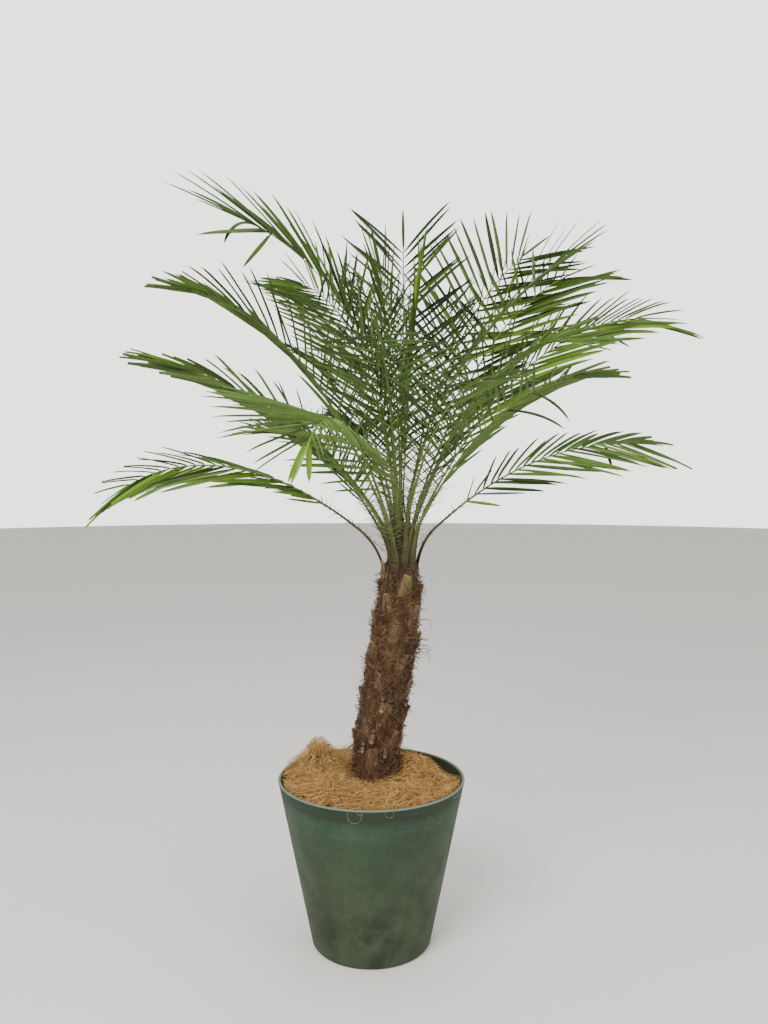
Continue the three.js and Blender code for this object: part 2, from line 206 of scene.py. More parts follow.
# Half width, fold and thickness of a leaflet along it, and its length along the rib.
LEAFLET_STATIONS = np.linspace(0, 1, 11)
LEAFLET_HALF = np.interp(
    LEAFLET_STATIONS, (0, 0.1, 0.25, 0.5, 0.8, 0.92, 1), (0.5, 0.85, 1, 1, 0.76, 0.48, 0.05)
)
BLUNT_HALF = np.maximum(LEAFLET_HALF, np.interp(LEAFLET_STATIONS, (0, 0.5, 1), (0, 0.9, 0.6)))
LEAFLET_FOLD = np.radians(np.interp(LEAFLET_STATIONS, (0, 0.15, 0.5, 1), (58, 38, 26, 36)))
LEAFLET_THICKNESS = 0.0005
LENGTH_PLACES = (0, 0.12, 0.4, 0.65, 1)
LENGTH_SHARES = (0.4, 0.7, 1, 0.98)
# A rib's last leaflet beside the longest, whole or without its point.
LAST_LEAFLET, LAST_CUT_LEAFLET = 0.62, 0.45
# Tones run from 0, the deepest green, to the brightest, partly as painted light and shade: lit fronds
# get brighter tones and shaded ones deeper. A leaflet's is its frond's, shifted.
TONES, TONE_SHIFTS = 5, (-2, -1, 0, 0, 0, 1)

# How a frond grows where its row says nothing else. Angles in degrees and lengths in metres.
HABIT = dict(
    sway=0,  # turn gained along the rib
    late=1,  # above 1, the rib droops later
    twist=0,  # how far the frond's face has turned round its rib
    seat=0.5,  # place at the head
    tone=1,  # which green most of its leaflets are
    leaf=0.18,  # length of its longest leaflets
    left_leaf=1,  # length of the left row's beside the right row's
    tip=0.74,  # length of the last leaflets beside the longest
    cut=2,  # the leaflets past this part of the row have lost their points
    broad=1,  # width beside the common one
    gap=1,  # spacing beside the common one
    open=1,  # how far the frond has opened
    start=58,  # angle between leaflets and rib where they start
    fan=20,  # the same at the rib's tip
    close=0.75,  # above 1, the leaflets close from start to fan later
    v=34,  # how far both rows are held up
    right=0,  # added to v for the right row
    left=0,  # added to v for the left row
    flat=0.7,  # share of v that is gone at the tip
    sag=0.04,  # how far leaflets hang down
)


def frond(name, turn, rise, rib, droop, **habit):
    return dict(HABIT, name=name, turn=turn, rise=rise, rib=rib, droop=droop, **habit)


FRONDS = [
    frond("low_left", 179.9, 47, 0.645, 74.8, sway=-25, late=1.25, seat=0.02, fan=25, leaf=0.180, tone=3, v=1,
          flat=1.4, start=36, right=-59, left=-7, close=0.5, tip=0.78, cut=0.6, twist=42, gap=1.2,
          broad=1.15),
    frond("low_right", 20, 53, 0.620, 54.5, sway=5, late=0.85, seat=0.02, fan=17, leaf=0.190, tone=3, v=3,
          flat=-0.4, right=-58, left=22, twist=12, start=47, close=0.45, tip=1.08, cut=0.8, gap=1.2,
          broad=1.3),
    frond("left_middle", 230, 62, 0.600, 47, sway=-18, late=0.8, seat=0.16, fan=17, leaf=0.165, tone=3,
          sag=0.2, tip=0.66, cut=0.65, gap=1.15, broad=1.2),
    frond("left_high", 214, 66, 0.684, 69, sway=23, late=1.8, seat=0.46, fan=8, tone=3, tip=0.58, cut=0.8,
          gap=1.15, broad=1.1),
    frond("left_tall", 172.5, 88.8, 0.722, 65.3, sway=12, late=1.75, seat=0.62, fan=13, leaf=0.188, tone=2,
          v=31, flat=0.1, start=38, close=0.6, tip=1.15, gap=1.5, broad=0.9),
    frond("left_inner", 236, 84, 0.540, 72, sway=6, late=1.4, seat=0.74, fan=34, leaf=0.185, tone=2, v=26,
          broad=0.5, gap=1.3),
    frond("front_left", 249.5, 55, 0.646, 83, sway=13, late=1.42, seat=0.14, fan=22, leaf=0.205, tone=4, v=0,
          flat=0, left_leaf=0.38, start=75, close=3, tip=0.6, sag=0.25, twist=27, gap=1.1),
    frond("front_high", 262, 77, 0.560, 70, sway=4, seat=0.52, fan=40, leaf=0.165, tone=2, flat=1.5,
          sag=0.12, close=1.2, broad=0.5, gap=1.35),
    frond("front_right", 286, 66, 0.560, 66, sway=-6, seat=0.3, leaf=0.165, tone=2, fan=30, v=24, close=1.2,
          broad=0.5, gap=1.35),
    frond("right_front", 308, 62, 0.635, 75, sway=-15, late=1.8, seat=0.40, fan=12, tone=4, tip=0.6,
          broad=0.7, gap=1.2),
    frond("right_low", 318, 66, 0.605, 69, sway=-30, late=1.1, seat=0.12, fan=20, leaf=0.160, tone=3,
          tip=0.7, cut=0.7, gap=1.15, broad=0.95, v=26),
    frond("right_inner", 324, 82, 0.600, 48, sway=12, seat=0.80, fan=22, tone=2, broad=0.55, gap=1.4),
    frond("right_wide", 3, 65, 0.742, 61, sway=23, late=1.7, seat=0.36, fan=17, leaf=0.195, tone=3, v=0,
          start=38, right=-34, left=24, flat=0.1, twist=-15, close=0.5, tip=0.98, gap=1.2, broad=1.15),
    frond("right_middle", 23, 70, 0.725, 47, sway=14, late=1.9, seat=0.50, fan=25, leaf=0.190, twist=-30,
          v=20, start=62, close=2, tip=0.85, tone=2, gap=1.25, broad=1.15),
    frond("right_high", 43, 75, 0.730, 42, sway=1, late=1.5, seat=0.74, fan=20, leaf=0.212, twist=-42, v=16,
          start=60, close=3, tip=0.98, tone=2, gap=1.25, broad=1.15),
    frond("back_right_low", 60, 57, 0.610, 40, sway=8, seat=0.12, broad=0.7, gap=1.4),
    frond("back_right_high", 62, 71, 0.620, 26, sway=16, seat=0.46, broad=0.7, gap=1.6),
    frond("back_upright", 100, 74, 0.640, 30, sway=6, seat=0.62, broad=0.7, gap=1.6),
    frond("back_tall", 83, 84, 0.635, 24, sway=7, seat=0.90, fan=31, leaf=0.195, v=12, close=1.5, tip=0.98,
          broad=0.95, gap=1.15),
    frond("back_low", 102, 64, 0.620, 70, seat=0.10, broad=0.75, gap=1.2),
    frond("back_middle", 116, 68, 0.640, 48, seat=0.34, broad=0.7, gap=1.4),
    frond("back_left_low", 124, 47, 0.540, 25, sway=-5, seat=0.06, fan=24, broad=0.8, gap=1.2),
    frond("back_left_high", 134, 86, 0.690, 67.6, sway=-6, late=1.55, seat=0.56, fan=14, leaf=0.195, tone=2,
          v=19, flat=0.24, start=54, close=1.9, tip=0.82, twist=43, sag=0, gap=1.15),
    frond("back_left_wide", 134, 60, 0.520, 60, seat=0.26, leaf=0.150, broad=0.8, gap=1.2),
    frond("young_right", 10, 89, 0.502, 6, seat=1.00, fan=9, leaf=0.130, open=0.35, tone=3, broad=1.2),
    frond("young_left", 268, 83, 0.505, 36, sway=-14, seat=1.00, fan=9, leaf=0.140, open=0.4, tone=2,
          broad=0.9),
]

# Bent and broken leaflets that stand out of the rows: frond, part of the rib, way, length, width
# beside the common one, droop and tone.
LOOSE_LEAFLETS = [
    ("left_tall", 0.95, (-1, 0.05, -0.03), 0.135, 1.5, 0.02, 1),
    ("left_tall", 0.94, (-1, -0.15, -0.01), 0.120, 1.4, 0.05, 2),
    ("left_tall", 0.98, (-0.93, 0, 0.30), 0.080, 1.1, 1.5, 1),
    ("left_tall", 0.93, (-0.66, 0, -0.75), 0.085, 1.2, 0.0, 2),
    ("low_right", 0.86, (0.3, -0.1, -0.95), 0.054, 1.2, 0.0, 1),
    ("right_wide", 0.83, (0.86, -0.2, -0.5), 0.090, 1.0, 0.0, 1),
    ("right_low", 0.78, (0.8, -0.3, -0.3), 0.080, 0.8, 0.6, 2),
    ("right_low", 0.65, (0.8, -0.3, -0.05), 0.110, 0.8, 0.4, 1),
    ("front_left", 1.00, (0.02, -0.1, -1), 0.055, 1.1, 0.0, 4),
    ("front_left", 0.96, (-0.45, -0.1, -0.85), 0.075, 1.1, 0.1, 4),
]
LOOSE_FACING = np.array((0.2, -0.8, 0.6))

# ---------------------------------------------------------------- stage

FLOOR_RADIUS, FLOOR_TOP, FLOOR_BOTTOM = 14.0, -0.0006, -0.02
# The camera's place, its tilt below level in degrees, and its lens and sensor in millimetres.
CAMERA_PLACE, CAMERA_TILT = (0.025, -1.742, 0.946), 2.73
CAMERA_LENS, CAMERA_SENSOR, CAMERA_CLIP = 30.94, 36.0, 0.05
# Lights: name, setting with its power, place, height that it looks at, width and length.
LIGHTS = [
    ("key", "key", (-1.1, -2.2, 2.6), 0.9, 1.6, 1.2),
    ("fill", "fill", (1.9, -1.6, 1.6), 0.8, 1.6, 1.6),
    ("top", "fill", (0.2, 0.4, 3.0), 0.8, 1.8, 1.8),
]

# ---------------------------------------------------------------- settings


def setting(kind, **common):
    return lambda name, description, default: kind(
        name=name, description=description, default=default, **common
    )


size = setting(bpy.props.FloatProperty, min=0.0, subtype="DISTANCE", unit="LENGTH")
count = setting(bpy.props.IntProperty, min=1)
share = setting(bpy.props.FloatProperty, min=0.0, max=1.0, subtype="FACTOR")
brightness = setting(bpy.props.FloatProperty, min=0.0)
power = setting(bpy.props.FloatProperty, unit="POWER")
colour = setting(bpy.props.FloatVectorProperty, size=3, min=0.0, max=1.0, subtype="COLOR")


class PlanterSettings(bpy.types.PropertyGroup):
    height: size("Height", "Height of the planter", PLANTER_HIGH.z)
    rim_radius: size("Rim Radius", "Outer radius at the rim", PLANTER_HIGH.x)
    foot_radius: size("Foot Radius", "Outer radius at the foot", 0.119)
    wall: size("Wall", "Thickness of the wall", 0.006)
    upper: colour("Upper Colour", "Colour of the body", (0.037, 0.071, 0.038))
    lower: colour("Lower Colour", "Colour towards the foot", (0.040, 0.057, 0.030))
    # Also the colour of the painted shade low on the planter's front.
    smudge: colour("Smudge Colour", "Colour of the darker smudges", (0.016, 0.021, 0.012))
    # The lip colour is a painted highlight: the top of the rim is painted lighter because it faces up to the
    # light.
    lip: colour("Lip Colour", "Colour that the rim has worn to", (0.175, 0.250, 0.195))


class CoirSettings(bpy.types.PropertyGroup):
    density: count("Strands", "Strands on a square metre of each layer", 37500)
    length: size("Strand Length", "Length of a strand", 0.056)
    radius: size("Strand Radius", "Radius of a strand", 0.00040)
    # The upper strands' pale colour is the fibre's colour painted lighter, as highlight; the tan of the lower
    # strands is the fibre's own.
    pale: colour("Pale Strands", "Colour of the upper strands", (0.84, 0.52, 0.185))
    tan: colour("Tan Strands", "Colour of the lower strands", (0.56, 0.305, 0.085))
    # Painted shade: the heap under the strands takes this dark colour, for the shade in the gaps between
    # them.
    bed: colour("Bed", "Colour of the fibre between strands", (0.26, 0.145, 0.052))


class StemSettings(bpy.types.PropertyGroup):
    hairs: count("Hairs", "Hairs on a square metre of bark", 42000)
    hair_length: size("Hair Length", "Length of a bark hair", 0.015)
    hair_radius: size("Hair Radius", "Radius of a bark hair", 0.00042)
    relief: size("Relief", "Height of the bark's relief", 0.007)
    bark: colour("Bark", "Colour of the bark", (0.125, 0.072, 0.032))
    deep: colour("Deep Bark", "Colour between the stubs", (0.034, 0.018, 0.009))
    stub: colour("Stub", "Colour of the old stubs", (0.150, 0.088, 0.042))
    fresh: colour("Fresh Stub", "Colour of the newest stubs", (0.105, 0.130, 0.030))
    cut: colour("Cut Face", "Colour of the cut faces", (0.50, 0.340, 0.170))


class FrondSettings(bpy.types.PropertyGroup):
    pitch: size("Pitch", "Distance between leaflets on one side of a rib", 0.0180)
    width: size("Leaflet Width", "Width of a leaflet", 0.0092)
    droop: share("Droop", "How far a leaflet has bent down at its tip", 0.05)
    # The greens between these are partly painted light and shade: lit fronds lean to the bright green, shaded
    # ones to the deep.
    deep: colour("Deep Green", "Upper face of the darkest leaflets", (0.013, 0.031, 0.004))
    bright: colour("Bright Green", "Upper face of the brightest leaflets", (0.165, 0.300, 0.026))
    under: colour("Underside", "Grey-green of the lower faces", (0.088, 0.155, 0.028))
    petiole: colour("Petiole", "Colour of the bare ribs", (0.105, 0.190, 0.030))
    old_petiole: colour("Old Petiole", "Colour of the oldest bare ribs", (0.085, 0.082, 0.026))
    spine: colour("Spines", "Colour of the spines", (0.235, 0.200, 0.110))


class StageSettings(bpy.types.PropertyGroup):
    key: power("Key", "Power of the main light", 96.0)
    fill: power("Fill", "Power of the fill light", 20.0)
    sky: brightness("Sky", "Strength of the surrounding light", 0.85)
    backdrop: brightness("Backdrop", "Brightness of the studio behind the plant", 2.6)
    floor: colour("Floor", "Colour of the floor", (0.86, 0.84, 0.80))


SETTINGS = {
    "palm_planter": PlanterSettings,
    "palm_coir": CoirSettings,
    "palm_stem": StemSettings,
    "palm_fronds": FrondSettings,
    "palm_stage": StageSettings,
}


# ---------------------------------------------------------------- mesh helpers

# A piece with more faces than this is made facing out, and isn't tested for it.
TESTED_FACES = 20000


def signed_volume(vertices, faces):
    total = 0.0
    for face in faces:
        corners = vertices[list(face)]
        for i in range(1, len(face) - 1):
            total += np.dot(corners[0], np.cross(corners[i], corners[i + 1]))
    return total


def make_piece(name, slot, vertices, faces, materials, face_slots=None, sharp=None):
    """A closed mesh object at the origin that rides with the plant, its faces turned outwards."""
    vertices = np.asarray(vertices, float)
    if len(faces) <= TESTED_FACES and signed_volume(vertices, faces) < 0:
        faces = [tuple(reversed(face)) for face in faces]
    mesh = bpy.data.meshes.new(name)
    mesh.from_pydata(vertices.tolist(), [], [tuple(map(int, face)) for face in faces])
    for material in materials:
        mesh.materials.append(material)
    if face_slots is not None:
        mesh.polygons.foreach_set("material_index", np.asarray(face_slots, np.int32))
    mesh.polygons.foreach_set("use_smooth", np.ones(len(mesh.polygons), bool))
    if sharp is not None:
        mesh.set_sharp_from_angle(angle=math.radians(sharp))
    mesh.validate()
    mesh.update()
    return finish_piece(bpy.data.objects.new(name, mesh))


def finish_piece(piece):
    bpy.context.scene.collection.objects.link(piece)
    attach(piece, BODY)
    return piece


def around(steps):
    """Turns in radians, evenly round a circle."""
    return [2 * math.pi * k / steps for k in range(steps)]


def outward(turn):
    """Unit vectors out from the axis and aside from that, at a turn in radians."""
    out = np.array((math.cos(turn), math.sin(turn), 0))
    return out, np.cross((0, 0, 1), out)


def band(low, high, steps):
    """Quads between two rings of vertices, each given by its first."""
    return [(low + k, low + (k + 1) % steps, high + (k + 1) % steps, high + k) for k in range(steps)]


def stitched(bottom, rings, top):
    """A closed skin over rings of points, from a point under the first to one over the last."""
    steps = len(rings[0])
    vertices = [bottom, *(point for ring in rings for point in ring), top]
    starts = [1 + r * steps for r in range(len(rings))]
    faces = [(0, 1 + (k + 1) % steps, 1 + k) for k in range(steps)]
    for low, high in zip(starts, starts[1:]):
        faces += band(low, high, steps)
    faces += [(starts[-1] + k, starts[-1] + (k + 1) % steps, len(vertices) - 1) for k in range(steps)]
    return np.array(vertices), faces


def lathe(profile, steps):
    """A profile of (radius, z) points that starts and ends on the axis, turned round Z."""
    rings = [[(radius * math.cos(turn), radius * math.sin(turn), z) for turn in around(steps)]
             for radius, z in profile[1:-1]]
    return stitched((0.0, 0.0, profile[0][1]), rings, (0.0, 0.0, profile[-1][1]))


def unit(vectors):
    return vectors / np.maximum(np.linalg.norm(vectors, axis=-1, keepdims=True), 1e-9)


def sweep(centres, across, up, offsets):
    """Closed bars: centres, across and up are (bars, stations, 3) and offsets, along across and
    up, (bars, stations, corners, 2). Returns vertices, faces and each face's side, -1 at ends."""
    bars, stations, corners, _ = offsets.shape
    vertices = (
        centres[:, :, None, :]
        + across[:, :, None, :] * offsets[..., :1]
        + up[:, :, None, :] * offsets[..., 1:]
    ).reshape(-1, 3)
    start = (np.arange(bars) * stations * corners)[:, None, None]
    ring = start + (np.arange(stations - 1) * corners)[None, :, None]
    here = np.arange(corners)[None, None, :]
    after = (here + 1) % corners
    quads = np.stack(
        np.broadcast_arrays(ring + here, ring + after, ring + corners + after, ring + corners + here), -1
    )
    sides = np.broadcast_to(here, quads.shape[:3]).reshape(-1)
    first = start[:, 0] + np.arange(corners)[::-1]
    last = start[:, 0] + (stations - 1) * corners + np.arange(corners)
    faces = [tuple(q) for ends in (quads.reshape(-1, 4), first, last) for q in ends.tolist()]
    return vertices, faces, list(sides) + [-1] * (2 * bars)


def facing_out(vertices, faces, corners, stations):
    """Turns every face round if the first bar of a sweep is inside out."""
    bar = [f for f in faces if max(f) < corners * stations]
    if signed_volume(vertices - vertices[: corners * stations].mean(0), bar) < 0:
        return [tuple(reversed(face)) for face in faces]
    return faces


def round_bars(lines, radii, corners):
    """Vertices and faces of round bars along lines of points, shaped (bars, stations, 3)."""
    lines = np.asarray(lines, float)
    ahead = unit(np.gradient(lines, axis=1))
    helper = np.where(np.abs(ahead[..., 2:]) > 0.9, np.array((1.0, 0, 0)), np.array((0, 0, 1.0)))
    across = unit(np.cross(ahead, helper))
    up = np.cross(across, ahead)
    angles = np.arange(corners) * 2 * math.pi / corners
    ring = np.stack([np.cos(angles), np.sin(angles)], -1)
    offsets = np.asarray(radii, float)[..., None, None] * ring
    vertices, faces, _ = sweep(lines, across, up, offsets)
    return vertices, facing_out(vertices, faces, corners, lines.shape[1])


def spline(knots, stations):
    """A smooth line through knots, as this many points."""
    last = len(knots) - 1
    line = []
    for place in np.linspace(0, last, stations):
        i = min(int(place), last - 1)
        t = place - i
        a, b, c, d = knots[max(i - 1, 0)], knots[i], knots[i + 1], knots[min(i + 2, last)]
        bend = (2 * a - 5 * b + 4 * c - d) * t**2
        line.append(0.5 * (2 * b + (c - a) * t + bend + (3 * b - a - 3 * c + d) * t**3))
    return np.array(line)


def rough(x, y, z, scale, octaves=3):
    return noise.fractal(Vector((x, y, z)) * scale, 0.6, 2.1, octaves, noise_basis="PERLIN_ORIGINAL")


def bare_object(name, vertices, faces):
    mesh = bpy.data.meshes.new(name)
    mesh.from_pydata(np.asarray(vertices, float).tolist(), [], faces)
    mesh.update()
    surface = bpy.data.objects.new(name, mesh)
    bpy.context.scene.collection.objects.link(surface)
    return surface


# ---------------------------------------------------------------- node helpers


class Nodes:
    """Adds nodes to a tree from left to right."""

    def __init__(self, tree):
        self.tree = tree
        self.column = 0

    def add(self, kind, inputs=None, **fields):
        node = self.tree.nodes.new(kind)
        self.column += 1
        node.location = (180 * self.column, 0)
        for name, value in fields.items():
            setattr(node, name, value)
        for key, value in (inputs or {}).items():
            self.feed(node.inputs[key], value)
        return node

    def feed(self, socket, value):
        if isinstance(value, bpy.types.NodeSocket):
            self.tree.links.new(value, socket)
        elif isinstance(value, bpy.types.Node):
            self.tree.links.new(value.outputs[0], socket)
        elif socket.type == "RGBA" and len(value) == 3:
            socket.default_value = (*value, 1.0)
        else:
            socket.default_value = value

    def math(self, operation, a, b=0.0, clamp=False):
        return self.add("ShaderNodeMath", {0: a, 1: b}, operation=operation, use_clamp=clamp).outputs[0]

    def mix(self, factor, a, b):
        return self.add("ShaderNodeMix", {0: factor, 6: a, 7: b}, data_type="RGBA").outputs[2]

    def ramp(self, factor, low, high):
        limits = {"Value": factor, "From Min": low, "From Max": high}
        return self.add("ShaderNodeMapRange", limits, clamp=True).outputs[0]

    def place(self):
        return self.add("ShaderNodeTexCoord").outputs["Object"]

    def noise(self, place, scale, detail, roughness=0.5):
        inputs = {"Vector": place, "Scale": scale, "Detail": detail, "Roughness": roughness}
        return self.add("ShaderNodeTexNoise", inputs).outputs[0]

    def stretched_noise(self, place, stretch, detail):
        return self.noise(self.add("ShaderNodeMapping", {"Vector": place, "Scale": stretch}), 1.0, detail)


def new_tree(name, kind, inputs, outputs):
    """A node tree with sockets named by kind: its nodes, what it is given and what it gives."""
    tree = bpy.data.node_groups.new(name, kind)
    for way, sockets in (("INPUT", inputs), ("OUTPUT", outputs)):
        for socket_kind, labels in sockets.items():
            for label in labels:
                tree.interface.new_socket(label, in_out=way, socket_type="NodeSocket" + socket_kind)
    nodes = Nodes(tree)
    return nodes, nodes.add("NodeGroupInput").outputs, nodes.add("NodeGroupOutput").inputs


def group(build):
    """The node tree that a function builds, built once and named after it."""
    return bpy.data.node_groups.get(build.__name__) or build(build.__name__)


def mottle(name):
    """Two colours in soft patches with fine grain, and the grain's height for a bump."""
    inputs = {
        "Color": ("Colour", "Patches"),
        "Float": ("Patch Scale", "Grain Scale", "Contrast"),
        "Vector": ("Stretch",),
    }
    nodes, given, out = new_tree(name, "ShaderNodeTree", inputs, {"Color": ("Colour",), "Float": ("Height",)})
    place = nodes.add("ShaderNodeVectorMath", {0: nodes.place(), 1: given["Stretch"]}, operation="MULTIPLY")
    mask = nodes.ramp(nodes.noise(place, given["Patch Scale"], 5.0, 0.62), 0.38, 0.64)
    grain = nodes.noise(place, given["Grain Scale"], 3.0, 0.7)
    spread = nodes.math("MULTIPLY", nodes.math("SUBTRACT", grain, 0.5), given["Contrast"])
    lightness = nodes.math("ADD", spread, 1.0)
    mixed = nodes.mix(mask, given["Colour"], given["Patches"])
    toned = nodes.add("ShaderNodeVectorMath", {0: mixed, "Scale": lightness}, operation="SCALE")
    nodes.feed(out["Colour"], toned)
    nodes.feed(out["Height"], grain)
    return nodes.tree


def strands(name):
    """Thin curved strands strewn over a surface: leaning off it, turned at random and waved."""
    inputs = {
        "Geometry": ("Geometry",),
        "Float": ("Density", "Length", "Radius", "Curl", "Least Lean", "Most Lean", "Wave", "Wave Scale"),
        "Int": ("Steps", "Seed"),
        "Material": ("Material",),
    }
    nodes, given, out = new_tree(name, "GeometryNodeTree", inputs, {"Geometry": ("Geometry",)})
    seed, length = given["Seed"], given["Length"]
    points = nodes.add(
        "GeometryNodeDistributePointsOnFaces",
        {"Mesh": given["Geometry"], "Density": given["Density"], "Seed": seed},
    )
    end = nodes.add("ShaderNodeCombineXYZ", {"X": given["Curl"], "Z": 0.8})
    bow = nodes.add(
        "GeometryNodeCurveQuadraticBezier",
        {"Resolution": given["Steps"], "Start": (0, 0, 0), "Middle": (0, 0, 0.55), "End": end},
    )
    along = nodes.add("GeometryNodeSplineParameter").outputs["Factor"]
    taper = nodes.math("SUBTRACT", 1.0, nodes.math("MULTIPLY", along, 0.65))
    tapered = nodes.add("GeometryNodeSetCurveRadius", {"Curve": bow, "Radius": taper})
    thickness = nodes.math("DIVIDE", given["Radius"], length)
    inputs = {"Resolution": 3, "Radius": thickness}
    ring = nodes.add("GeometryNodeCurvePrimitiveCircle", inputs, mode="RADIUS")
    inputs = {"Curve": tapered, "Profile Curve": ring, "Fill Caps": True}
    strand = nodes.add("GeometryNodeCurveToMesh", inputs)
    least = nodes.add("ShaderNodeCombineXYZ", {"X": given["Least Lean"], "Y": -0.5, "Z": 0.0})
    most = nodes.add("ShaderNodeCombineXYZ", {"X": given["Most Lean"], "Y": 0.5, "Z": 6.2832})
    lean = nodes.add("FunctionNodeRandomValue", {0: least, 1: most, "Seed": seed}, data_type="FLOAT_VECTOR")
    turn = nodes.add("FunctionNodeEulerToRotation", {0: lean})
    rotation = nodes.add(
        "FunctionNodeRotateRotation", {0: points.outputs["Rotation"], 1: turn}, rotation_space="LOCAL"
    )
    shortest, longest = nodes.math("MULTIPLY", length, 0.5), nodes.math("MULTIPLY", length, 1.35)
    scale = nodes.add("FunctionNodeRandomValue", {2: shortest, 3: longest, "Seed": seed}, data_type="FLOAT")
    laid = nodes.add(
        "GeometryNodeInstanceOnPoints",
        {"Points": points, "Instance": strand, "Rotation": rotation, "Scale": scale.outputs[1]},
    )
    real = nodes.add("GeometryNodeRealizeInstances", {0: laid})
    ripple = nodes.add("ShaderNodeTexNoise", {"Scale": given["Wave Scale"], "Detail": 1.0}).outputs["Color"]
    centred = nodes.add("ShaderNodeVectorMath", {0: ripple, 1: (0.5, 0.5, 0.5)}, operation="SUBTRACT")
    offset = nodes.add("ShaderNodeVectorMath", {0: centred, "Scale": given["Wave"]}, operation="SCALE")
    waved = nodes.add("GeometryNodeSetPosition", {"Geometry": real, "Offset": offset})
    smooth = nodes.add("GeometryNodeSetShadeSmooth", {"Geometry": waved})
    inputs = {"Geometry": smooth, "Material": given["Material"]}
    nodes.feed(out[0], nodes.add("GeometryNodeSetMaterial", inputs))
    return nodes.tree


def spikes(name):
    """A slim cone on every vertex, along the vertex's aim and as long as it."""
    inputs = {"Geometry": ("Geometry",), "Float": ("Radius",), "Int": ("Sides",), "Material": ("Material",)}
    nodes, given, out = new_tree(name, "GeometryNodeTree", inputs, {"Geometry": ("Geometry",)})
    inputs = {"Vertices": given["Sides"], "Radius Top": 0.05, "Radius Bottom": 1.0, "Depth": 1.0}
    cone = nodes.add("GeometryNodeMeshCone", inputs)
    aim = nodes.add("GeometryNodeInputNamedAttribute", {"Name": "aim"}, data_type="FLOAT_VECTOR").outputs[0]
    rotation = nodes.add("FunctionNodeAlignRotationToVector", {"Vector": aim}, axis="Z")
    length = nodes.add("ShaderNodeVectorMath", {0: aim}, operation="LENGTH").outputs["Value"]
    radius = given["Radius"]
    scale = nodes.add("ShaderNodeCombineXYZ", {"X": radius, "Y": radius, "Z": length})
    inputs = {"Points": given["Geometry"], "Instance": cone, "Rotation": rotation, "Scale": scale}
    real = nodes.add("GeometryNodeRealizeInstances", {0: nodes.add("GeometryNodeInstanceOnPoints", inputs)})
    inputs = {"Geometry": real, "Material": given["Material"]}
    nodes.feed(out[0], nodes.add("GeometryNodeSetMaterial", inputs))
    return nodes.tree


def grow(name, surface, tree, values):
    """The tree's result on a surface object as a plain mesh piece. The surface is removed."""
    modifier = surface.modifiers.new("grow", "NODES")
    modifier.node_group = tree
    for item in tree.interface.items_tree:
        if item.in_out == "INPUT" and item.name in values:
            modifier[item.identifier] = values[item.name]
    depsgraph = bpy.context.evaluated_depsgraph_get()
    mesh = bpy.data.meshes.new_from_object(surface.evaluated_get(depsgraph))
    mesh.name = name
    bpy.data.objects.remove(surface)
    return finish_piece(bpy.data.objects.new(name, mesh))


# ---------------------------------------------------------------- material helpers


def shade(tint, factor):
    return tuple(min(1.0, c * factor) for c in tint)


def blend_colour(a, b, at):
    return tuple(x + (y - x) * at for x, y in zip(a, b))


def new_material(name, roughness, specular):
    material = bpy.data.materials.new(name)
    material.use_nodes = True
    shader = material.node_tree.nodes["Principled BSDF"]
    shader.inputs["Roughness"].default_value = roughness
    shader.inputs["Specular IOR Level"].default_value = specular
    return material, Nodes(material.node_tree), shader


def mottled(nodes, first, second, patch, grain, stretch=(1, 1, 1), contrast=1.0):
    """Two colours in patches. The second may be a number, its lightness beside the first."""
    if isinstance(second, float):
        second = shade(first, second)
    inputs = {
        "Colour": first,
        "Patches": second,
        "Patch Scale": patch,
        "Grain Scale": grain,
        "Stretch": stretch,
        "Contrast": contrast,
    }
    return nodes.add("ShaderNodeGroup", inputs, node_tree=group(mottle)).outputs


def bumped(nodes, shader, height, distance, strength=1.0):
    bump = nodes.add("ShaderNodeBump", {"Height": height, "Distance": distance, "Strength": strength})
    nodes.feed(shader.inputs["Normal"], bump.outputs["Normal"])


def mottled_material(
    name, first, second, patch, grain, roughness, bump=0.0, stretch=(1, 1, 1), contrast=1.0, specular=0.4
):
    material, nodes, shader = new_material(name, roughness, specular)
    look = mottled(nodes, first, second, patch, grain, stretch, contrast)
    nodes.feed(shader.inputs["Base Color"], look["Colour"])
    if bump:
        bumped(nodes, shader, look["Height"], bump)
    return material


# ---------------------------------------------------------------- planter, soil and coir


def planter_radius(settings, z):
    return settings.foot_radius + (settings.rim_radius - settings.foot_radius) * z / settings.height


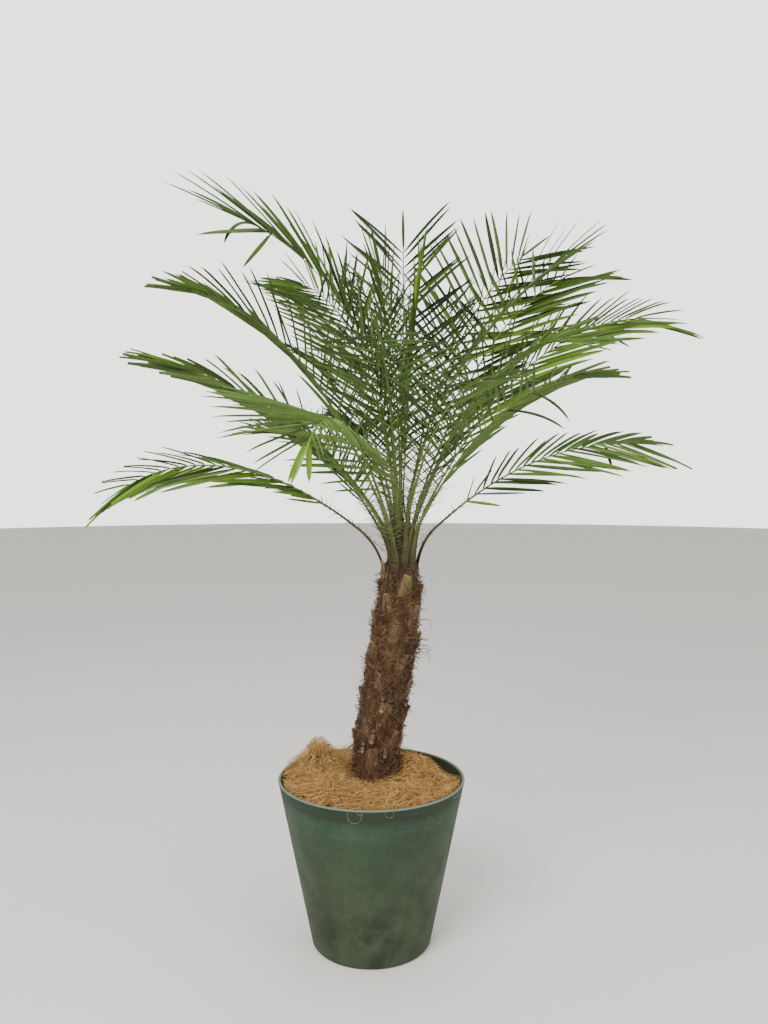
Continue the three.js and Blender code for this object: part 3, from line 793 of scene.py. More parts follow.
def planter_material(settings):
    """Matt stone, darker at the foot, with streaks, brush marks and specks. Its dark blotches are heavier
    towards the foot and darkest in painted shade low on the front; the lip is painted lighter on top as a
    highlight.
    """
    material, nodes, shader = new_material("planter_stone", 0.62, 0.24)
    place = nodes.place()
    height = nodes.add("ShaderNodeSeparateXYZ", {0: place}).outputs["Z"]
    body = mottled(nodes, settings.upper, 0.62, 8.0, 190.0, (1, 1, 0.45), 0.6)
    foot = mottled(nodes, settings.lower, 1.2, 12.0, 190.0, (1, 1, 0.35), 0.5)
    drift = nodes.noise(place, 7.0, 4.0)
    clouds = nodes.noise(place, 16.0, 6.0, 0.6)
    streaks = nodes.stretched_noise(place, (46.0, 46.0, 4.0), 4.0)
    bands = nodes.stretched_noise(place, (7.0, 7.0, 80.0), 5.0)
    specks = nodes.noise(place, 150.0, 2.0)

    shifted = nodes.math("ADD", height, nodes.math("MULTIPLY", nodes.math("SUBTRACT", drift, 0.5), 0.22))
    low = nodes.math("SUBTRACT", 1.0, nodes.ramp(shifted, 0.10, 0.30), clamp=True)
    toned = nodes.mix(low, body["Colour"], foot["Colour"])
    # Painted shade: the dark blotches are strongest near a place low on the planter's front.
    reach = nodes.add("ShaderNodeVectorMath", {0: place, 1: FRONT_SHADE_PLACE}, operation="DISTANCE")
    near = nodes.ramp(reach.outputs["Value"], 0.095, 0.03)
    strength = nodes.math("ADD", nodes.math("MULTIPLY", low, 0.42), nodes.math("MULTIPLY", near, 0.5))
    smudges_and_shade = nodes.math("MULTIPLY", nodes.ramp(clouds, 0.42, 0.66), nodes.math("ADD", strength, 0.1))
    toned = nodes.mix(smudges_and_shade, toned, settings.smudge)
    brushed = nodes.math("MULTIPLY", nodes.ramp(height, 0.20, 0.29), nodes.ramp(bands, 0.5, 0.72))
    under_lip = nodes.ramp(nodes.math("ADD", height, nodes.math("MULTIPLY", drift, 0.016)), 0.306, 0.320)
    # Painted highlight: the top of the lip takes the pale lip colour, as light on the face turned up.
    worn = nodes.ramp(height, settings.height - 0.0032, settings.height - 0.0012)
    marks = [
        (nodes.ramp(streaks, 0.52, 0.8), 0.13, shade(settings.upper, 1.8)),
        (brushed, 0.4, shade(settings.upper, 1.55)),
        (under_lip, 0.7, settings.smudge),
        (nodes.ramp(specks, 0.62, 0.72), 0.35, settings.smudge),
        (worn, 0.8, settings.lip),
    ]
    for mask, most, tint in marks:
        toned = nodes.mix(nodes.math("MULTIPLY", mask, most), toned, tint)
    nodes.feed(shader.inputs["Base Color"], toned)
    dull = nodes.add("ShaderNodeMapRange", {"Value": clouds, "To Min": 0.5, "To Max": 0.78})
    nodes.feed(shader.inputs["Roughness"], dull)
    bumped(nodes, shader, nodes.math("ADD", body["Height"], clouds), 0.0007, 0.5)
    return material


class PALM_OT_planter(bpy.types.Operator):
    """Turn the tapered planter with its rounded lip, painted lighter on top as a highlight"""

    bl_idname = "palm.make_planter"
    bl_label = "Planter"

    def execute(self, context):
        settings = context.scene.palm_planter
        top, wall, lip = settings.height, settings.wall, settings.wall / 2

        def outer(z):
            return planter_radius(settings, z)

        turned = np.linspace(0, math.pi, 9)
        profile = [
            (0, 0),
            (outer(0) - 0.004, 0.0),
            (outer(0) - 0.0012, 0.0009),
            (outer(0.003), 0.003),
            *[(outer(z), z) for z in np.linspace(WALL_FROM, top - LIP_DROP, 12)],
            *[(outer(top) - lip + lip * math.cos(a), top - lip + lip * math.sin(a)) for a in turned],
            *[(outer(z) - wall, z) for z in np.linspace(top - LIP_DROP, WALL_FROM, 8)],
            (outer(PLANTER_FLOOR) - wall, PLANTER_FLOOR),
            (0, PLANTER_FLOOR),
        ]
        stone = planter_material(settings)
        piece = make_piece("planter_shell", "planter", *lathe(profile, 160), [stone], sharp=40)
        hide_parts("planter")
        return {"FINISHED"}


class PALM_OT_soil(bpy.types.Operator):
    """Fill the planter with crumbly potting soil"""

    bl_idname = "palm.make_soil"
    bl_label = "Potting Soil"

    def execute(self, context):
        settings = context.scene.palm_planter

        def inner(z):
            return planter_radius(settings, z) - settings.wall - SOIL_GAP

        surface = [(inner(SOIL_TOP) * part, SOIL_TOP) for part in np.linspace(1, 0.02, 30)]
        profile = [(0, SOIL_BOTTOM), (inner(SOIL_BOTTOM), SOIL_BOTTOM), *surface, (0, SOIL_TOP)]
        vertices, faces = lathe(profile, 120)
        for vertex in vertices:
            if vertex[2] > SOIL_TOP - 1e-6 and math.hypot(vertex[0], vertex[1]) < inner(SOIL_TOP) * 0.99:
                vertex[2] -= CRUMBS * abs(rough(vertex[0], vertex[1], 0.0, 110))
        moist = mottled_material(
            "moist_soil", (0.045, 0.028, 0.017), (0.018, 0.011, 0.008), 60, 420, 0.95, 0.0012
        )
        piece = make_piece("soil_fill", "potting_soil", vertices, faces, [moist])
        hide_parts("potting_soil")
        return {"FINISHED"}


def hollow_share(x, y):
    """How near the bottom of the hollow a place is, from 0 to 1."""
    turn, spread, _, begins, deepest = HOLLOW
    aside = np.degrees(np.arctan2(y, x)) - turn
    past = (np.hypot(x, y) - begins) / (deepest - begins)
    return np.exp(-((aside / spread) ** 2)) * np.clip(past, 0, 1)


def heap_level(x, y):
    """The heap's height, before its roughness, at one place or at arrays of them."""
    level = COIR_LEVEL - HOLLOW[2] * hollow_share(x, y)
    for hx, hy, height, spread in HEAPS:
        level = level + height * np.exp(-((x - hx) ** 2 + (y - hy) ** 2) / spread**2)
    return level


def coir_height(x, y):
    return max(heap_level(x, y) + 0.006 * rough(x, y, 0.3, 38), SOIL_TOP + 0.004)


def coir_point(radius, turn, rim):
    """A point of the heap's surface, which comes down to its level near the rim."""
    x, y = radius * math.cos(turn), radius * math.sin(turn)
    edge = max(0.0, (radius / rim - 0.9) / 0.1)
    z = coir_height(x, y)
    return (x, y, z + (min(z, COIR_LEVEL) - z) * edge)


def stray_line(settings, turn, reach, drop, run):
    """A strand from the coir over the rim, down outside and back up in a loop."""
    out, aside = outward(math.radians(turn))
    rim, top = settings.rim_radius, settings.height
    knots = [
        (rim - 0.045, 0, COIR_LEVEL + 0.008),
        (rim - 0.012, 0.1, top + 0.003),
        (rim + 0.001, 0.2, top + 0.0022),
        (rim + reach, 0.18, top - drop * 0.45),
        (rim + reach * 0.7, 0.3, top - drop * 0.85),
        (rim + reach * 0.6, 0.6, top - drop),
        (rim + reach * 0.7, 0.9, top - drop * 0.85),
        (rim + reach, 1.05, top - drop * 0.45),
        (rim + 0.001, 1.08, top + 0.0022),
        (rim - 0.02, 1.4, top + 0.0015),
    ]
    return spline([out * r + aside * run * side + (0, 0, z) for r, side, z in knots], STRAY_STATIONS)


def hold_inside(piece, planter):
    """Presses the strands down to the heap, flat in the hollow, and bends those that would pass
    through the planter's wall back inside it."""
    mesh = piece.data
    places = np.zeros(len(mesh.vertices) * 3, np.float32)
    mesh.vertices.foreach_get("co", places)
    places = places.reshape(-1, 3)
    reach = np.hypot(places[:, 0], places[:, 1])
    height = np.clip(places[:, 2], 0, planter.height)
    slope = (planter.rim_radius - planter.foot_radius) / planter.height
    inner = planter.foot_radius + slope * height - planter.wall - 0.002
    out = reach > inner
    places[out, :2] *= (inner[out] / reach[out])[:, None]
    x, y, z = places.T
    level = heap_level(x, y)
    most = LOFT * (1 - 0.8 * hollow_share(x, y))
    places[:, 2] = np.where(z > level, level + most * np.tanh((z - level) / most), z)
    places[:, 2] = np.maximum(places[:, 2], SOIL_TOP + 0.001)
    mesh.vertices.foreach_set("co", places.reshape(-1))
    mesh.update()


class PALM_OT_coir(bpy.types.Operator):
    """Heap loose coconut fibre round the stem, with strands strewn over it and over the rim"""

    bl_idname = "palm.make_coir"
    bl_label = "Coconut Fibre"

    def execute(self, context):
        settings = context.scene.palm_coir
        planter = context.scene.palm_planter
        bottom = SOIL_TOP + 0.0006
        rim = planter_radius(planter, COIR_LEVEL) - planter.wall - COIR_GAP
        low_rim = planter_radius(planter, bottom) - planter.wall - COIR_GAP
        reaches = rim * np.linspace(1, 0.02, COIR_RINGS)
        grid = [[coir_point(reach, turn, rim) for turn in around(COIR_STEPS)] for reach in reaches]
        under = [(x / rim * low_rim, y / rim * low_rim, bottom) for x, y, _ in grid[0]]
        vertices, faces = stitched((0.0, 0.0, bottom), [under, *grid], (0.0, 0.0, coir_height(0, 0)))
        # The heap is painted in the dark shade colour of the gaps between strands.
        bed = mottled_material("coir_bed", settings.bed, 0.4, 70, 500, 0.95, 0.002, contrast=1.4)
        heap = make_piece("coir_heap", "coir", vertices, faces, [bed])
        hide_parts("coir_mulch")

        def is_covered(face):
            x, y, _ = vertices[list(face)].mean(0)
            return hollow_share(x, y) < BARE_HOLLOW and math.hypot(x, y) < rim * 0.985

        covered = [face for face in faces[2 * COIR_STEPS : -COIR_STEPS] if is_covered(face)]
        # Painted highlight: the upper layer of strands is pale, the lower layer has the fibre's own tan.
        layers = [("coir_lower", settings.tan, 1.38, 1.66, 3), ("coir_upper", settings.pale, 1.30, 1.64, 8)]
        for name, tint, least, most, seed in layers:
            values = {
                "Density": float(settings.density),
                "Length": settings.length,
                "Radius": settings.radius,
                "Curl": 1.0,
                "Least Lean": least,
                "Most Lean": most,
                "Wave": 0.026,
                "Wave Scale": 34.0,
                "Steps": 7,
                "Seed": seed,
                "Material": mottled_material(name, tint, 0.66, 45, 300, 0.8, contrast=0.6),
            }
            surface = bare_object(name, vertices, covered)
            hold_inside(grow(name, surface, group(strands), values), planter)
        lines = [stray_line(planter, *row) for row in STRAYS]
        radii = np.full((len(lines), STRAY_STATIONS), settings.radius * 0.42)
        pale = mottled_material("coir_stray", (0.42, 0.36, 0.20), (0.34, 0.27, 0.14), 45, 300, 0.8)
        make_piece("coir_strays", "coir", *round_bars(lines, radii, 5), [pale])
        return {"FINISHED"}


# ---------------------------------------------------------------- stem


def stem_x(z):
    along = np.clip((z - STEM_BEND_FROM) / (STEM_TOP_Z - STEM_BEND_FROM), 0, 1)
    return STEM_FOOT_X + (STEM_TOP_X - STEM_FOOT_X) * along * along * (3 - 2 * along)


def stem_radius(z):
    return np.interp(z, STEM_HEIGHTS, STEM_RADII)


def by_stem(z, out, radius):
    """The point at a height that lies this far out from the stem's middle."""
    return np.array((stem_x(z), 0, z)) + out * radius


def stub_places():
    """Turn in radians and height of every stub."""
    heights = np.linspace(STUB_FROM_Z, STUB_TO_Z, STUB_COUNT)
    turns = np.radians(FIRST_STUB_TURN + np.arange(STUB_COUNT) * GOLDEN_ANGLE)
    return list(zip(turns, heights))


def bark_relief(turn, z, height):
    """How far the bark stands out: a shingle under every stub, and ragged fibre between."""
    radius = stem_radius(z)
    total = 0.0
    for stub_turn, stub_z in stub_places():
        up = z - stub_z
        if -0.05 < up < 0.03:
            aside = math.remainder(turn - stub_turn, 2 * math.pi) * radius
            rising = min(1.0, (up + 0.05) / 0.06) if up < 0.012 else max(0.0, 1 - (up - 0.012) / 0.016)
            total = max(total, math.exp(-((aside / 0.015) ** 2)) * rising)
    x, y = math.cos(turn) * radius, math.sin(turn) * radius
    ragged = rough(x, y, z * 0.35, 90, 4) * 0.45 + rough(x, y, z, 260, 2) * 0.2
    return height * (total + ragged)


def bark_ring(z, relief):
    """Points round the bark at a height. It is calm and slimmer towards the growing head."""
    calm = min(1.0, max(0.0, (CALM_TOP - z) / CALM_LENGTH))
    ring = []
    for turn in around(BARK_STEPS):
        radius = stem_radius(z) * (0.86 + 0.14 * calm) + bark_relief(turn, z, relief) * calm
        ring.append((stem_x(z) + radius * math.cos(turn), radius * math.sin(turn), z))
    return ring


def bark_material(settings):
    """Fibrous brown bark with russet patches."""
    material, nodes, shader = new_material("fibrous_bark", 0.9, 0.2)
    fibres = mottled(nodes, settings.bark, settings.deep, 55, 320, (1, 1, 0.3), 1.5)
    russet = mottled(nodes, (0.16, 0.062, 0.034), shade(settings.bark, 0.7), 30, 400, (1, 1, 0.5), 1.2)
    patches = nodes.ramp(nodes.noise(nodes.place(), 14.0, 3.0), 0.48, 0.66)
    nodes.feed(shader.inputs["Base Color"], nodes.mix(patches, fibres["Colour"], russet["Colour"]))
    bumped(nodes, shader, fibres["Height"], 0.003)
    return material


def wound_fibres(rng, along):
    """Long fibres that lie across the bark."""
    lines = []
    for _ in range(FIBRES):
        z = rng.uniform(0.335, 0.80) + rng.uniform(-0.02, 0.02) * along
        z = z + 0.004 * np.sin(along * 5 + rng.uniform(0, 6))
        turn = rng.uniform(0, 2 * math.pi) + rng.uniform(0.3, 1.1) * along
        radius = stem_radius(z) + 0.0035 + rng.uniform(0.001, 0.007) * np.sin(along * math.pi)
        lines.append(np.stack([stem_x(z) + radius * np.cos(turn), radius * np.sin(turn), z], -1))
    return lines


def loose_tufts(rng, along):
    """Fibres that have come loose from the bark in tufts."""
    t = along[:, None]
    lines = []
    for turn, z, number, length in TUFTS:
        for _ in range(number):
            flat = outward(math.radians(turn + rng.normal(0, 9)))[0]
            high = z + rng.normal(0, 0.006)
            out = flat + (0, 0, rng.normal(0.1, 0.35))
            reach = length * rng.uniform(0.4, 0.9)
            curl = rng.normal(0, 0.7, 3) - (0, 0, 0.6)
            coil = rng.normal(0, 0.32, 3)
            line = by_stem(high, flat, stem_radius(high) + 0.001) + out * reach * t + curl * reach * t**2
            lines.append(line + coil * reach * np.sin(t * 7) * t)
    return lines


class PALM_OT_stem(bpy.types.Operator):
    """Wrap the leaning stem in shingled, fibrous bark with hairs, fibres and tufts"""

    bl_idname = "palm.make_stem"
    bl_label = "Stem"

    def execute(self, context):
        settings = context.scene.palm_stem
        heights = np.linspace(STEM_HEIGHTS[0], STEM_HEIGHTS[-1] - 0.002, BARK_RINGS)
        low, high = heights[0], heights[-1]
        rings = [bark_ring(z, settings.relief) for z in heights]
        vertices, faces = stitched((stem_x(low), 0.0, low), rings, (stem_x(high), 0.0, high + 0.002))
        piece = make_piece("bark", "stem", vertices, faces, [bark_material(settings)])
        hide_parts("stem")

        dark = mottled_material("hair_dark", (0.055, 0.028, 0.014), (0.105, 0.046, 0.022), 40, 300, 0.85)
        pale = mottled_material("hair_pale", (0.27, 0.172, 0.080), (0.15, 0.085, 0.038), 50, 300, 0.85)
        hairy = [f for f in faces if len(f) == 4 and vertices[f[2], 2] < HAIR_TOP]
        layers = [("bark_hair_dark", dark, 1.0, 0.8, 1.55, 5), ("bark_hair_pale", pale, 0.5, 1.2, 1.6, 9)]
        for name, hair, part, least, most, seed in layers:
            values = {
                "Density": settings.hairs * part,
                "Length": settings.hair_length,
                "Radius": settings.hair_radius,
                "Curl": 0.35,
                "Least Lean": least,
                "Most Lean": most,
                "Wave": 0.012,
                "Wave Scale": 60.0,
                "Steps": 4,
                "Seed": seed,
                "Material": hair,
            }
            grow(name, bare_object(name, vertices, hairy), group(strands), values)

        rng = np.random.default_rng(31)
        along = np.linspace(0, 1, FIBRE_STATIONS)
        for name, made, radii, material in (
            ("bark_fibres", wound_fibres(rng, along), np.full(FIBRE_STATIONS, 0.00038), pale),
            ("bark_tufts", loose_tufts(rng, along), 0.0009 * (1 - 0.6 * along), dark),
        ):
            make_piece(name, "stem", *round_bars(made, np.tile(radii, (len(made), 1)), 4), [material])
        return {"FINISHED"}


def stub_mesh(turn, z, rng):
    """One stub: a tongue with a bulging back, cut across at its top."""
    out, aside = outward(turn)
    wide, tall = rng.uniform(0.8, 1.12), rng.uniform(0.82, 1.1)
    slant, lean = rng.uniform(-0.35, 0.35), rng.uniform(0.75, 1.15)
    vertices = []
    for share_up, half, thick, stand in STUB_ROWS:
        height = z + (share_up - 0.52) * STUB_HEIGHT * tall
        centre = by_stem(height, out, stem_radius(height) + stand * lean)
        for across, deep in STUB_ARC:
            tilt = slant * across * half * (share_up > 0.95)
            wobble = 0.0007 * rng.standard_normal(3) * (share_up > 0.1)
            notch = -0.0035 * (1 - abs(across)) * (share_up > 0.95)
            place = centre + aside * across * half * wide + out * deep * thick
            vertices.append(place + (0, 0, tilt + notch) + wobble)
    n, last = len(STUB_ARC), (len(STUB_ROWS) - 1) * len(STUB_ARC)
    faces = [face for low in range(0, last, n) for face in band(low, low + n, n)]
    faces += [tuple(reversed(range(n))), tuple(range(last, last + n))]
    if signed_volume(np.array(vertices) - vertices[0], faces) < 0:
        faces = [tuple(reversed(face)) for face in faces]
    return vertices, faces


def root_tip_line(turn, top, length, stations):
    out = outward(math.radians(turn))[0]
    line = []
    for s in np.linspace(0, 1, stations):
        z = top - length * s
        line.append(by_stem(z, out, stem_radius(z) - 0.002 + 0.008 * math.sin(min(1, s * 1.6) * math.pi / 2)))
    return line


class PALM_OT_stubs(bpy.types.Operator):
    """Set the stubs of shed fronds up the stem, and the root tips at its foot"""

    bl_idname = "palm.make_stubs"
    bl_label = "Frond Stubs"

    def execute(self, context):
        settings = context.scene.palm_stem
        rng = np.random.default_rng(11)
        grain = (1, 1, 0.25)
        weathered = shade(settings.bark, 1.35)
        materials = [
            mottled_material("old_stub", settings.stub, 0.45, 60, 350, 0.85, 0.0015, grain, 1.2),
            mottled_material("fresh_stub", settings.fresh, settings.stub, 60, 350, 0.7, 0.001, grain, 0.8),
            mottled_material("cut_face", settings.cut, 0.6, 90, 500, 0.85, 0.001),
            mottled_material("worn_stub", weathered, settings.deep, 60, 320, 0.9, 0.002, grain, 1.4),
        ]
        old, fresh, cut, worn = range(len(materials))
        vertices, faces, slots = [], [], []
        for turn, z in stub_places():
            made, skin = stub_mesh(turn, z, rng)
            start = len(vertices)
            vertices.extend(made)
            faces.extend(tuple(start + i for i in face) for face in skin)
            body = fresh if z > FRESH_STUB_Z else old if z > WORN_STUB_Z else worn
            slots.extend([body] * (len(skin) - 1) + [cut if z > CLEAN_CUT_Z else old])
        make_piece("frond_stubs", "stem", vertices, faces, materials, slots, sharp=50)

        stations = len(ROOT_TIP_SHAPE)
        lines = [root_tip_line(turn, top, length, stations) for turn, top, length, _ in ROOT_TIPS]
        radii = [radius * ROOT_TIP_SHAPE for *_, radius in ROOT_TIPS]
        vertices, faces = round_bars(lines, radii, ROOT_TIP_CORNERS)
        rows = [max(face) // ROOT_TIP_CORNERS % stations for face in faces]
        slots = [int(row >= stations - 2) for row in rows]
        pale = mottled_material("root_tip", (0.44, 0.32, 0.22), settings.stub, 90, 400, 0.8)
        make_piece("root_tips", "stem", vertices, faces, [materials[old], pale], slots)
        return {"FINISHED"}


# ---------------------------------------------------------------- ribs and spines


def frond_axes(frond, part):
    """The rib's own axes at parts of its length: on along it, side to its right, ridge up."""
    part = np.asarray(part, float)
    turn = np.radians(frond["turn"] + frond["sway"] * part)
    rise = np.radians(frond["rise"] - frond["droop"] * part ** frond["late"])
    on = np.stack([np.cos(rise) * np.cos(turn), np.cos(rise) * np.sin(turn), np.sin(rise)], -1)
    side = np.stack([np.sin(turn), -np.cos(turn), np.zeros_like(turn)], -1)
    ridge = np.stack([-np.sin(rise) * np.cos(turn), -np.sin(rise) * np.sin(turn), np.cos(rise)], -1)
    twist = np.radians(frond["twist"] * np.clip(part * 1.6, 0, 1))[..., None]
    return on, side * np.cos(twist) + ridge * np.sin(twist), ridge * np.cos(twist) - side * np.sin(twist)


def seat_of(frond):
    """Height and radius of a rib's seat on the head."""
    return [low + (high - low) * frond["seat"] for low, high in (SEAT_Z, SEAT_RADIUS)]


def rib_places(frond, parts, fine=240):
    """Points of the rib's middle line at parts of its length."""
    z, radius = seat_of(frond)
    out = outward(math.radians(frond["turn"]))[0]
    root = by_stem(z, out, radius)
    middles = (np.arange(fine) + 0.5) / fine
    line = np.vstack([root, root + np.cumsum(frond_axes(frond, middles)[0], 0) * frond["rib"] / fine])
    at = np.linspace(0, 1, fine + 1)
    hug = HUG * (1 - 0.7 * frond["seat"]) * np.clip(1 - at / HUG_TO, 0, 1) ** 1.6
    line -= hug[:, None] * out
    return np.stack([np.interp(parts, at, line[:, i]) for i in range(3)], -1)


def rib_size(sizes, part):
    return np.interp(part, (0, BARE, 1), sizes)


def clasping_foot(frond, shares):
    """Middle line of a rib's foot, from the head's surface to where the stalk stands free."""
    low = seat_of(frond)[0] - FOOT_DROP
    out = outward(math.radians(frond["turn"]))[0]
    start = by_stem(low, out, stem_radius(low) - 0.001)
    end = rib_places(frond, np.array([FOOT_JOIN]))[0]
    reach = np.linalg.norm(end - start)
    leave = unit(np.array((0.12, 0, 1.0)) - out * 0.16) * reach
    arrive = frond_axes(frond, FOOT_JOIN)[0] * reach
    t = shares[:, None]
    return (
        start * (2 * t**3 - 3 * t**2 + 1)
        + leave * (t**3 - 2 * t**2 + t)
        + end * (3 * t**2 - 2 * t**3)
        + arrive * (t**3 - t**2)
    )


def stalk_slot(vertex, all_parts, foot_stations):
    """Which colour step a rib's face is in, by its last vertex. Innermost stalks are greenest."""
    bar, within = divmod(vertex, len(all_parts) * len(RIB_SECTION))
    station, seat = within // len(RIB_SECTION), FRONDS[bar]["seat"]
    if all_parts[station] >= BARE:
        return STALK_STEPS + 1
    greening = station / foot_stations * STALK_STEPS - 1.2 + 2.5 * seat
    return int(np.clip(greening, 0, STALK_STEPS * (0.5 if seat < 0.1 else 1)))


def stalk_materials(settings):
    """The stalks' colours, from their brown sheaths to green, and then the leafy part's."""
    old, fresh = settings.old_petiole, settings.petiole
    look = (36, 240, 0.6, 0.0004, (1, 1, 0.4), 0.7, 0.25)
    made = []
    for step in range(STALK_STEPS + 1):
        at = step / STALK_STEPS * 2
        tint = blend_colour(SHEATH, old, at) if at < 1 else blend_colour(old, fresh, at - 1)
        made.append(mottled_material(f"stalk_{step}", tint, 0.5, *look))
    leafy = ((0.105, 0.170, 0.030), (0.066, 0.112, 0.018))
    made.append(mottled_material("rib_leafy", *leafy, 30, 240, 0.5, 0.0002, specular=0.25))
    return made


class PALM_OT_ribs(bpy.types.Operator):
    """Sweep every frond's rib from its clasping foot to its tip"""

    bl_idname = "palm.make_ribs"
    bl_label = "Ribs"

    def execute(self, context):
        shares = np.linspace(0, 1, 13)[:-1]
        parts = np.concatenate([np.linspace(FOOT_JOIN, BARE, 8), np.linspace(BARE, 1, 34)[1:]])
        all_parts = np.concatenate([shares * FOOT_JOIN, parts])
        foot_half = np.interp(shares, (0, 0.3, 0.6, 1), (0.0060, 0.0088, 0.0056, 0.0042))
        foot_high = np.interp(shares, (0, 0.3, 1), (0.0016, 0.0030, 0.0040))
        halves = np.concatenate([foot_half, rib_size(RIB_WIDTHS, parts) / 2])
        highs = np.concatenate([foot_high, rib_size(RIB_HEIGHTS, parts) / 2])
        bars = []
        for frond in FRONDS:
            line = np.vstack([clasping_foot(frond, shares), rib_places(frond, parts)])
            ahead = unit(np.gradient(line, axis=0))
            ridge = unit(np.cross(frond_axes(frond, all_parts)[1], ahead))
            across = np.cross(ahead, ridge)
            size_here = np.stack([halves, highs], -1) * (1 - 0.3 * frond["seat"])
            bars.append((line, across, ridge, RIB_SECTION[None] * size_here[:, None, :]))
        vertices, faces, _ = sweep(*(np.array(column) for column in zip(*bars)))
        faces = facing_out(vertices, faces, len(RIB_SECTION), len(all_parts))
        slots = [stalk_slot(max(face), all_parts, len(shares)) for face in faces]
        materials = stalk_materials(context.scene.palm_fronds)
        piece = make_piece("ribs", "frond", vertices, faces, materials, slots, sharp=60)
        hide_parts(*FROND_NODES)
        return {"FINISHED"}


class PALM_OT_spines(bpy.types.Operator):
    """Stand thin spines along both margins of the bare ribs"""

    bl_idname = "palm.make_spines"
    bl_label = "Spines"

    def execute(self, context):
        settings = context.scene.palm_fronds
        rng = np.random.default_rng(23)
        points, aims = [], []
        for frond in FRONDS:
            number = int(BARE * frond["rib"] / SPINE_PITCH)
            for hand in (1, -1):
                parts = SPINE_FROM + (np.arange(number) + rng.uniform(0.1, 0.9, number)) / number * BARE
                on, side, ridge = frond_axes(frond, parts)
                margin = side * hand * (rib_size(RIB_WIDTHS, parts) * 0.42)[:, None]
                points.append(rib_places(frond, parts) + margin)
                grown = np.interp(parts, (SPINE_FROM, 0.14, BARE), (0.017, 0.024, 0.037))
                grown = grown * rng.uniform(0.6, 1.25, number) * (0.35 + 0.65 * frond["open"])
                ahead = rng.uniform(0.15, 1.0, number)[:, None]
                lift = rng.uniform(-0.25, 0.55, number)[:, None]
                aims.append(unit(side * hand + on * ahead + ridge * lift) * grown[:, None])
        surface = bare_object("spines", np.vstack(points), [])
        attribute = surface.data.attributes.new("aim", "FLOAT_VECTOR", "POINT")
        attribute.data.foreach_set("vector", np.vstack(aims).astype(np.float32).reshape(-1))
        horn = mottled_material("spine", settings.spine, 0.6, 40, 200, 0.5)
        grow("spines", surface, group(spikes), {"Radius": 0.00085, "Sides": 4, "Material": horn})
        return {"FINISHED"}


# ---------------------------------------------------------------- leaflets


def leaflet_rows(frond, settings, rng):
    """Root, way, upper side, length, width, droop, bend and bluntness of a frond's leaflets."""
    number = int(round(frond["rib"] * (1 - BARE) / (settings.pitch * frond["gap"])))
    start = frond["start"] * frond["open"]
    rows = []
    for hand, row in ((1, "right"), (-1, "left")):
        shift = rng.uniform(0.15, 0.45)
        leafy = (np.arange(number) + shift + rng.uniform(-0.16, 0.16, number)) / number
        leafy = np.clip(leafy, 0.002, 0.998)
        parts = BARE + (1 - BARE) * leafy
        on, side, ridge = frond_axes(frond, parts)
        spread = start + (frond["fan"] - start) * leafy ** frond["close"]
        angle = np.radians(spread + rng.normal(0, 2.5, number))[:, None]
        held = (frond["v"] + frond[row]) * (1 - frond["flat"] * leafy)
        lift = np.radians(held + rng.normal(0, 4, number))[:, None]
        off = side * (hand * np.cos(lift)) + ridge * np.sin(lift)
        way = on * np.cos(angle) + off * np.sin(angle)
        way[:, 2] -= frond["sag"]
        way = unit(way)
        longest = frond["leaf"] * (frond["left_leaf"] if hand < 0 else 1)
        length = longest * np.interp(leafy, LENGTH_PLACES, (*LENGTH_SHARES, frond["tip"]))
        length = length * rng.uniform(0.9, 1.04, number)
        width = settings.width * frond["broad"] * (0.45 + 0.55 * frond["open"])
        width = width * np.interp(leafy, (0, 0.15, 0.6, 1), (0.62, 0.9, 1, 0.85))
        width = width * rng.uniform(0.85, 1.12, number)
        root = rib_places(frond, parts) + side * hand * (rib_size(RIB_WIDTHS, parts) * 0.36)[:, None]
        root += ridge * (rib_size(RIB_HEIGHTS, parts) * 0.12)[:, None]
        above = unit(ridge - way * np.sum(ridge * way, -1, keepdims=True))
        twist = np.radians(hand * 50 + rng.normal(0, 14, number))[:, None]
        above = above * np.cos(twist) + np.cross(way, above) * np.sin(twist)
        droop = settings.droop * rng.uniform(0.2, 1.9, number) * (0.3 + 0.7 * frond["open"])
        bend = rng.normal(0, 0.03, number)
        blunt = (leafy > frond["cut"]).astype(float)
        rows.extend(zip(root, way, above, length * (1 - 0.1 * blunt), width, droop, bend, blunt))
    on, _, ridge = frond_axes(frond, 1.0)
    tip = rib_places(frond, np.array([1.0]))[0]
    blunt = float(frond["cut"] < 1)
    last = frond["leaf"] * (LAST_CUT_LEAFLET if blunt else LAST_LEAFLET)
    rows.append((tip - on * 0.006, on, ridge, last, settings.width * 0.8, settings.droop * 0.4, 0.0, blunt))
    return rows


def loose_rows(settings):
    """Tone and row of each loose leaflet, its upper face turned to the front and up."""
    by_name = {frond["name"]: frond for frond in FRONDS}
    for name, part, way, length, wide, droop, tone in LOOSE_LEAFLETS:
        root = rib_places(by_name[name], np.array([part]))[0]
        way = unit(np.array(way, float))
        above = unit(LOOSE_FACING - way * np.dot(LOOSE_FACING, way))
        yield tone, (root, way, above, length, settings.width * wide, droop, 0.0, 0.0)


